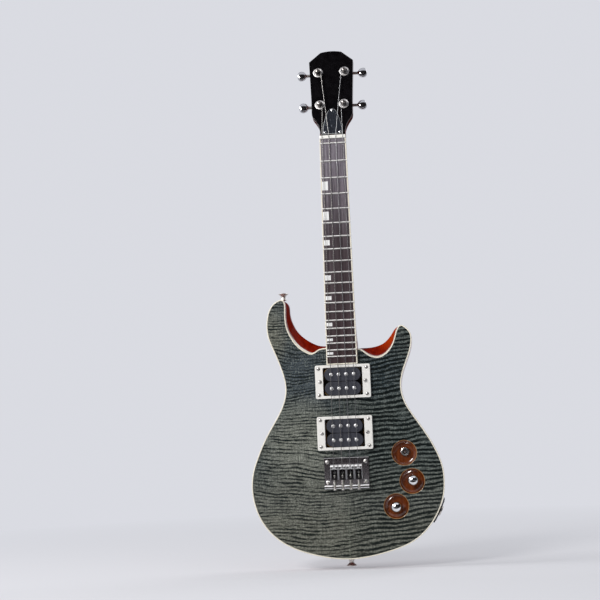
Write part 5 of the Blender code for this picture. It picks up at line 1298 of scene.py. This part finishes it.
def build_jack():
    full, _ = body_edges()
    near = int(np.argmin(np.linalg.norm(full - np.array(JACK_SPOT), axis=1)))
    loop = np.roll(full, len(full) // 2 - near, axis=0)
    along = np.concatenate([[0.0], np.cumsum(np.linalg.norm(np.diff(loop, axis=0), axis=1))])
    middle = along[len(full) // 2]
    spots = middle + np.linspace(-17, 17, 25)
    curve = np.stack([np.interp(spots, along, loop[:, k]) for k in (0, 1)], axis=1)
    slope = np.gradient(curve, axis=0)
    slope /= np.linalg.norm(slope, axis=1)[:, None]
    out = np.stack([-slope[:, 1], slope[:, 0]], axis=1)
    outline = [tuple(p) for p in (*(curve + out * 0.6), *(curve + out * 2.1)[::-1])]
    plate = slab(outline, -32.0, -6.0)
    foot = Vector((full[near][0], MIDDLE, full[near][1]))
    plate = rounded(cut(plate, rod(foot, JACK_WAY, 5.9, -5, 8)), 0.3, 2, 50)
    piece("jack_plate", plate, JACK)
    ways = [(k, Vector((out[k][0], 0, out[k][1]))) for k in (3, 21)]
    heads = [(Vector((curve[k][0], MIDDLE, curve[k][1])) + way * 2.1, way, 0.4 + k)
             for k, way in ways]
    piece("jack_plate_screws", copies(cross_head(2.2, 1.0), heads), CHROME)
    jack = turned([(3.6, 3.9), (5.2, 3.9), (5.6, 3.7), (5.6, 3.5), (6.9, 3.5), (7.5, 3.2),
                   (7.5, 2.4), (5.6, 2.4), (5.6, -0.3), (8.5, -0.3), (8.5, -3.0), (5.6, -3.0),
                   (5.6, -12.5), (3.6, -12.5)], foot, JACK_WAY, 48, closed=True)
    for k in range(6):
        flat = block((6.5, 9.0), (-5, 5), (2.5, 5.0))
        jack = cut(jack, placed(flat, foot, JACK_WAY, math.pi * k / 3))
    piece("output_jack", jack, NICKEL)


def build_straps():
    for name, centre, direction in (("bottom", (0, MIDDLE, -123.6), (0, 0, -1)),
                                    ("horn", (-77.8, MIDDLE, 223.8), (0, 0, 1))):
        button = turned([(0, 0.3), (4.0, 0.3), (4.2, 0.6), (4.2, 1.4), (3.8, 2.2), (3.3, 3.2),
                         (3.2, 4.9), (3.6, 6.2), (4.6, 7.4), (6.0, 8.4), (6.7, 9.0), (6.9, 9.4),
                         (6.6, 9.8), (3.6, 9.8), (3.3, 9.5), (0, 9.5)],
                        centre, direction, 56)
        piece(f"strap_button_{name}", button, STRAP)
        seat = Vector(centre) + Vector(direction) * 9.6
        piece(f"strap_screw_{name}", copies(cross_head(3.1, 1.3, 1.4), [(seat, direction, 0.4)]),
              NICKEL)


def dress_hidden_nodes():
    """Finishes for the solids that stay as they are."""
    for finish, names in (
            (STEEL, ("truss_rod", "volume_potentiometer", "tone_potentiometer", "toggle_switch")),
            (UNDERSIDE, ("pickup_baseplate_neck", "pickup_baseplate_bridge")),
            (RUBBER, ("pickup_lead",))):
        for name in names:
            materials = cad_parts[name].data.materials
            materials.clear()
            materials.append(finish.material)


# ---------------------------------------------------------------- studio

AIR = (0.70, 0.71, 0.76, 1)
FLOOR = -0.137


def stage_sheet(name, points, up, finish):
    """A sheet of the studio, in metres, drawn up from a line of points."""
    bm, _, edges = start_ring(points, False)
    shift_new(bm, bmesh.ops.extrude_edge_only(bm, edges=edges), up)
    item = new_object(name, bm, finish)
    return item


def build_studio():
    floor = Finish("pale floor", Roughness=0.9, Specular_IOR_Level=0.1)
    floor.tones(floor.noise((0.002,) * 3, 2), (0.70, 0.70, 0.74), (0.74, 0.74, 0.78))
    glow = floor.node("Emission", {"Color": AIR, "Strength": 1.0})
    away = floor.node("VectorMath", {0: floor.node("TexCoord", output="Object"),
                                     1: (0, 0, FLOOR)}, "Value", operation="DISTANCE")
    floor.show_mix(away.spread(0.15, 1.3, 0.35, 1.0) * floor.seen(),
                   Value(floor, floor.shader.outputs[0]), glow)
    stage_sheet("floor", [(-12, -12, FLOOR), (12, -12, FLOOR)], (0, 24, 0), floor)

    dark = Finish("dark card", Roughness=0.9, Specular_IOR_Level=0.0)
    dark.tones(dark.noise((0.002,) * 3, 2), (0.020, 0.018, 0.019), (0.035, 0.031, 0.032))
    x, _, z = dark.axes()
    dark.show_mix(z.spread(2500, 3400).maths("MAXIMUM", x.spread(-900, -1900)),
                  Value(dark, dark.shader.outputs[0]), dark.node("BsdfTransparent"))
    card = stage_sheet("dark_card", [(-2.0, -2.1, FLOOR), (1.5, -2.1, FLOOR),
                                     (2.3, -1.5, FLOOR), (2.5, 0.2, FLOOR)], (0, 0, 3.6), dark)
    apron = stage_sheet("dark_apron", [(-1.0, -1.3, -0.136), (1.5, -1.3, -0.136)],
                        (0, 1.13, 0), dark)
    for sheet in (card, apron):
        sheet.visible_camera = sheet.visible_diffuse = sheet.visible_shadow = False

    world = bpy.data.worlds.new("studio air")
    bpy.context.scene.world = world
    air = Graph(world)
    plain = air.tree.nodes["Background"].inputs
    plain["Color"].default_value = (0.88, 0.90, 0.93, 1)
    plain["Strength"].default_value = 0.31
    air.show_mix(air.seen(), Value(air, air.tree.nodes["Background"].outputs[0]),
                 air.node("Background", {"Color": AIR, "Strength": 1.0}))

    for name, spot, size, power, tint in (
            ("key lamp", (-1.15, -1.85, 1.25), 0.7, 38.0, (1.0, 0.985, 0.96)),
            ("side lamp", (-1.9, -0.35, 1.5), 0.8, 25.0, (1.0, 0.99, 0.98)),
            ("fill lamp", (1.7, -1.5, 0.3), 1.2, 5.0, (0.95, 0.97, 1.0)),
            ("rim lamp", (0.9, 0.7, 1.3), 0.9, 6.0, (1.0, 1.0, 1.0))):
        light = bpy.data.lights.new(name, "AREA")
        light.shape, light.size, light.energy, light.color = "SQUARE", size, power, tint
        lamp = bpy.data.objects.new(name, light)
        aim = Vector((0, -0.03, 0.18)) - Vector(spot)
        lamp.rotation_euler = aim.to_track_quat("-Z", "Y").to_euler()
        lamp.location = spot
        lamp.visible_glossy = name != "fill lamp"
        bpy.context.scene.collection.objects.link(lamp)


def build_camera():
    camera = bpy.data.cameras.new("camera")
    camera.lens, camera.sensor_width, camera.clip_start = 85.0, 36.0, 0.05
    item = bpy.data.objects.new("camera", camera)
    across = Vector((0.99347, 0.10721, -0.03909)).normalized()
    ahead = Vector((-0.1033, 0.99046, 0.09117)).normalized()
    up = across.cross(ahead).normalized()
    turn = Matrix((across, up, -ahead)).transposed().to_4x4()
    item.matrix_world = Matrix.Translation((0.1432, -1.9227, 0.0489)) @ turn
    bpy.context.scene.collection.objects.link(item)
    bpy.context.scene.camera = item


build_body()
build_neck()
build_fingerboard()
build_truss_cover()
for pickup, values in PICKUPS.items():
    build_pickup(pickup, *values)
build_bridge()
build_strings()
build_tuners()
build_controls()
build_jack()
build_straps()
dress_hidden_nodes()
build_studio()
build_camera()
bpy.context.scene.view_settings.view_transform = "Standard"
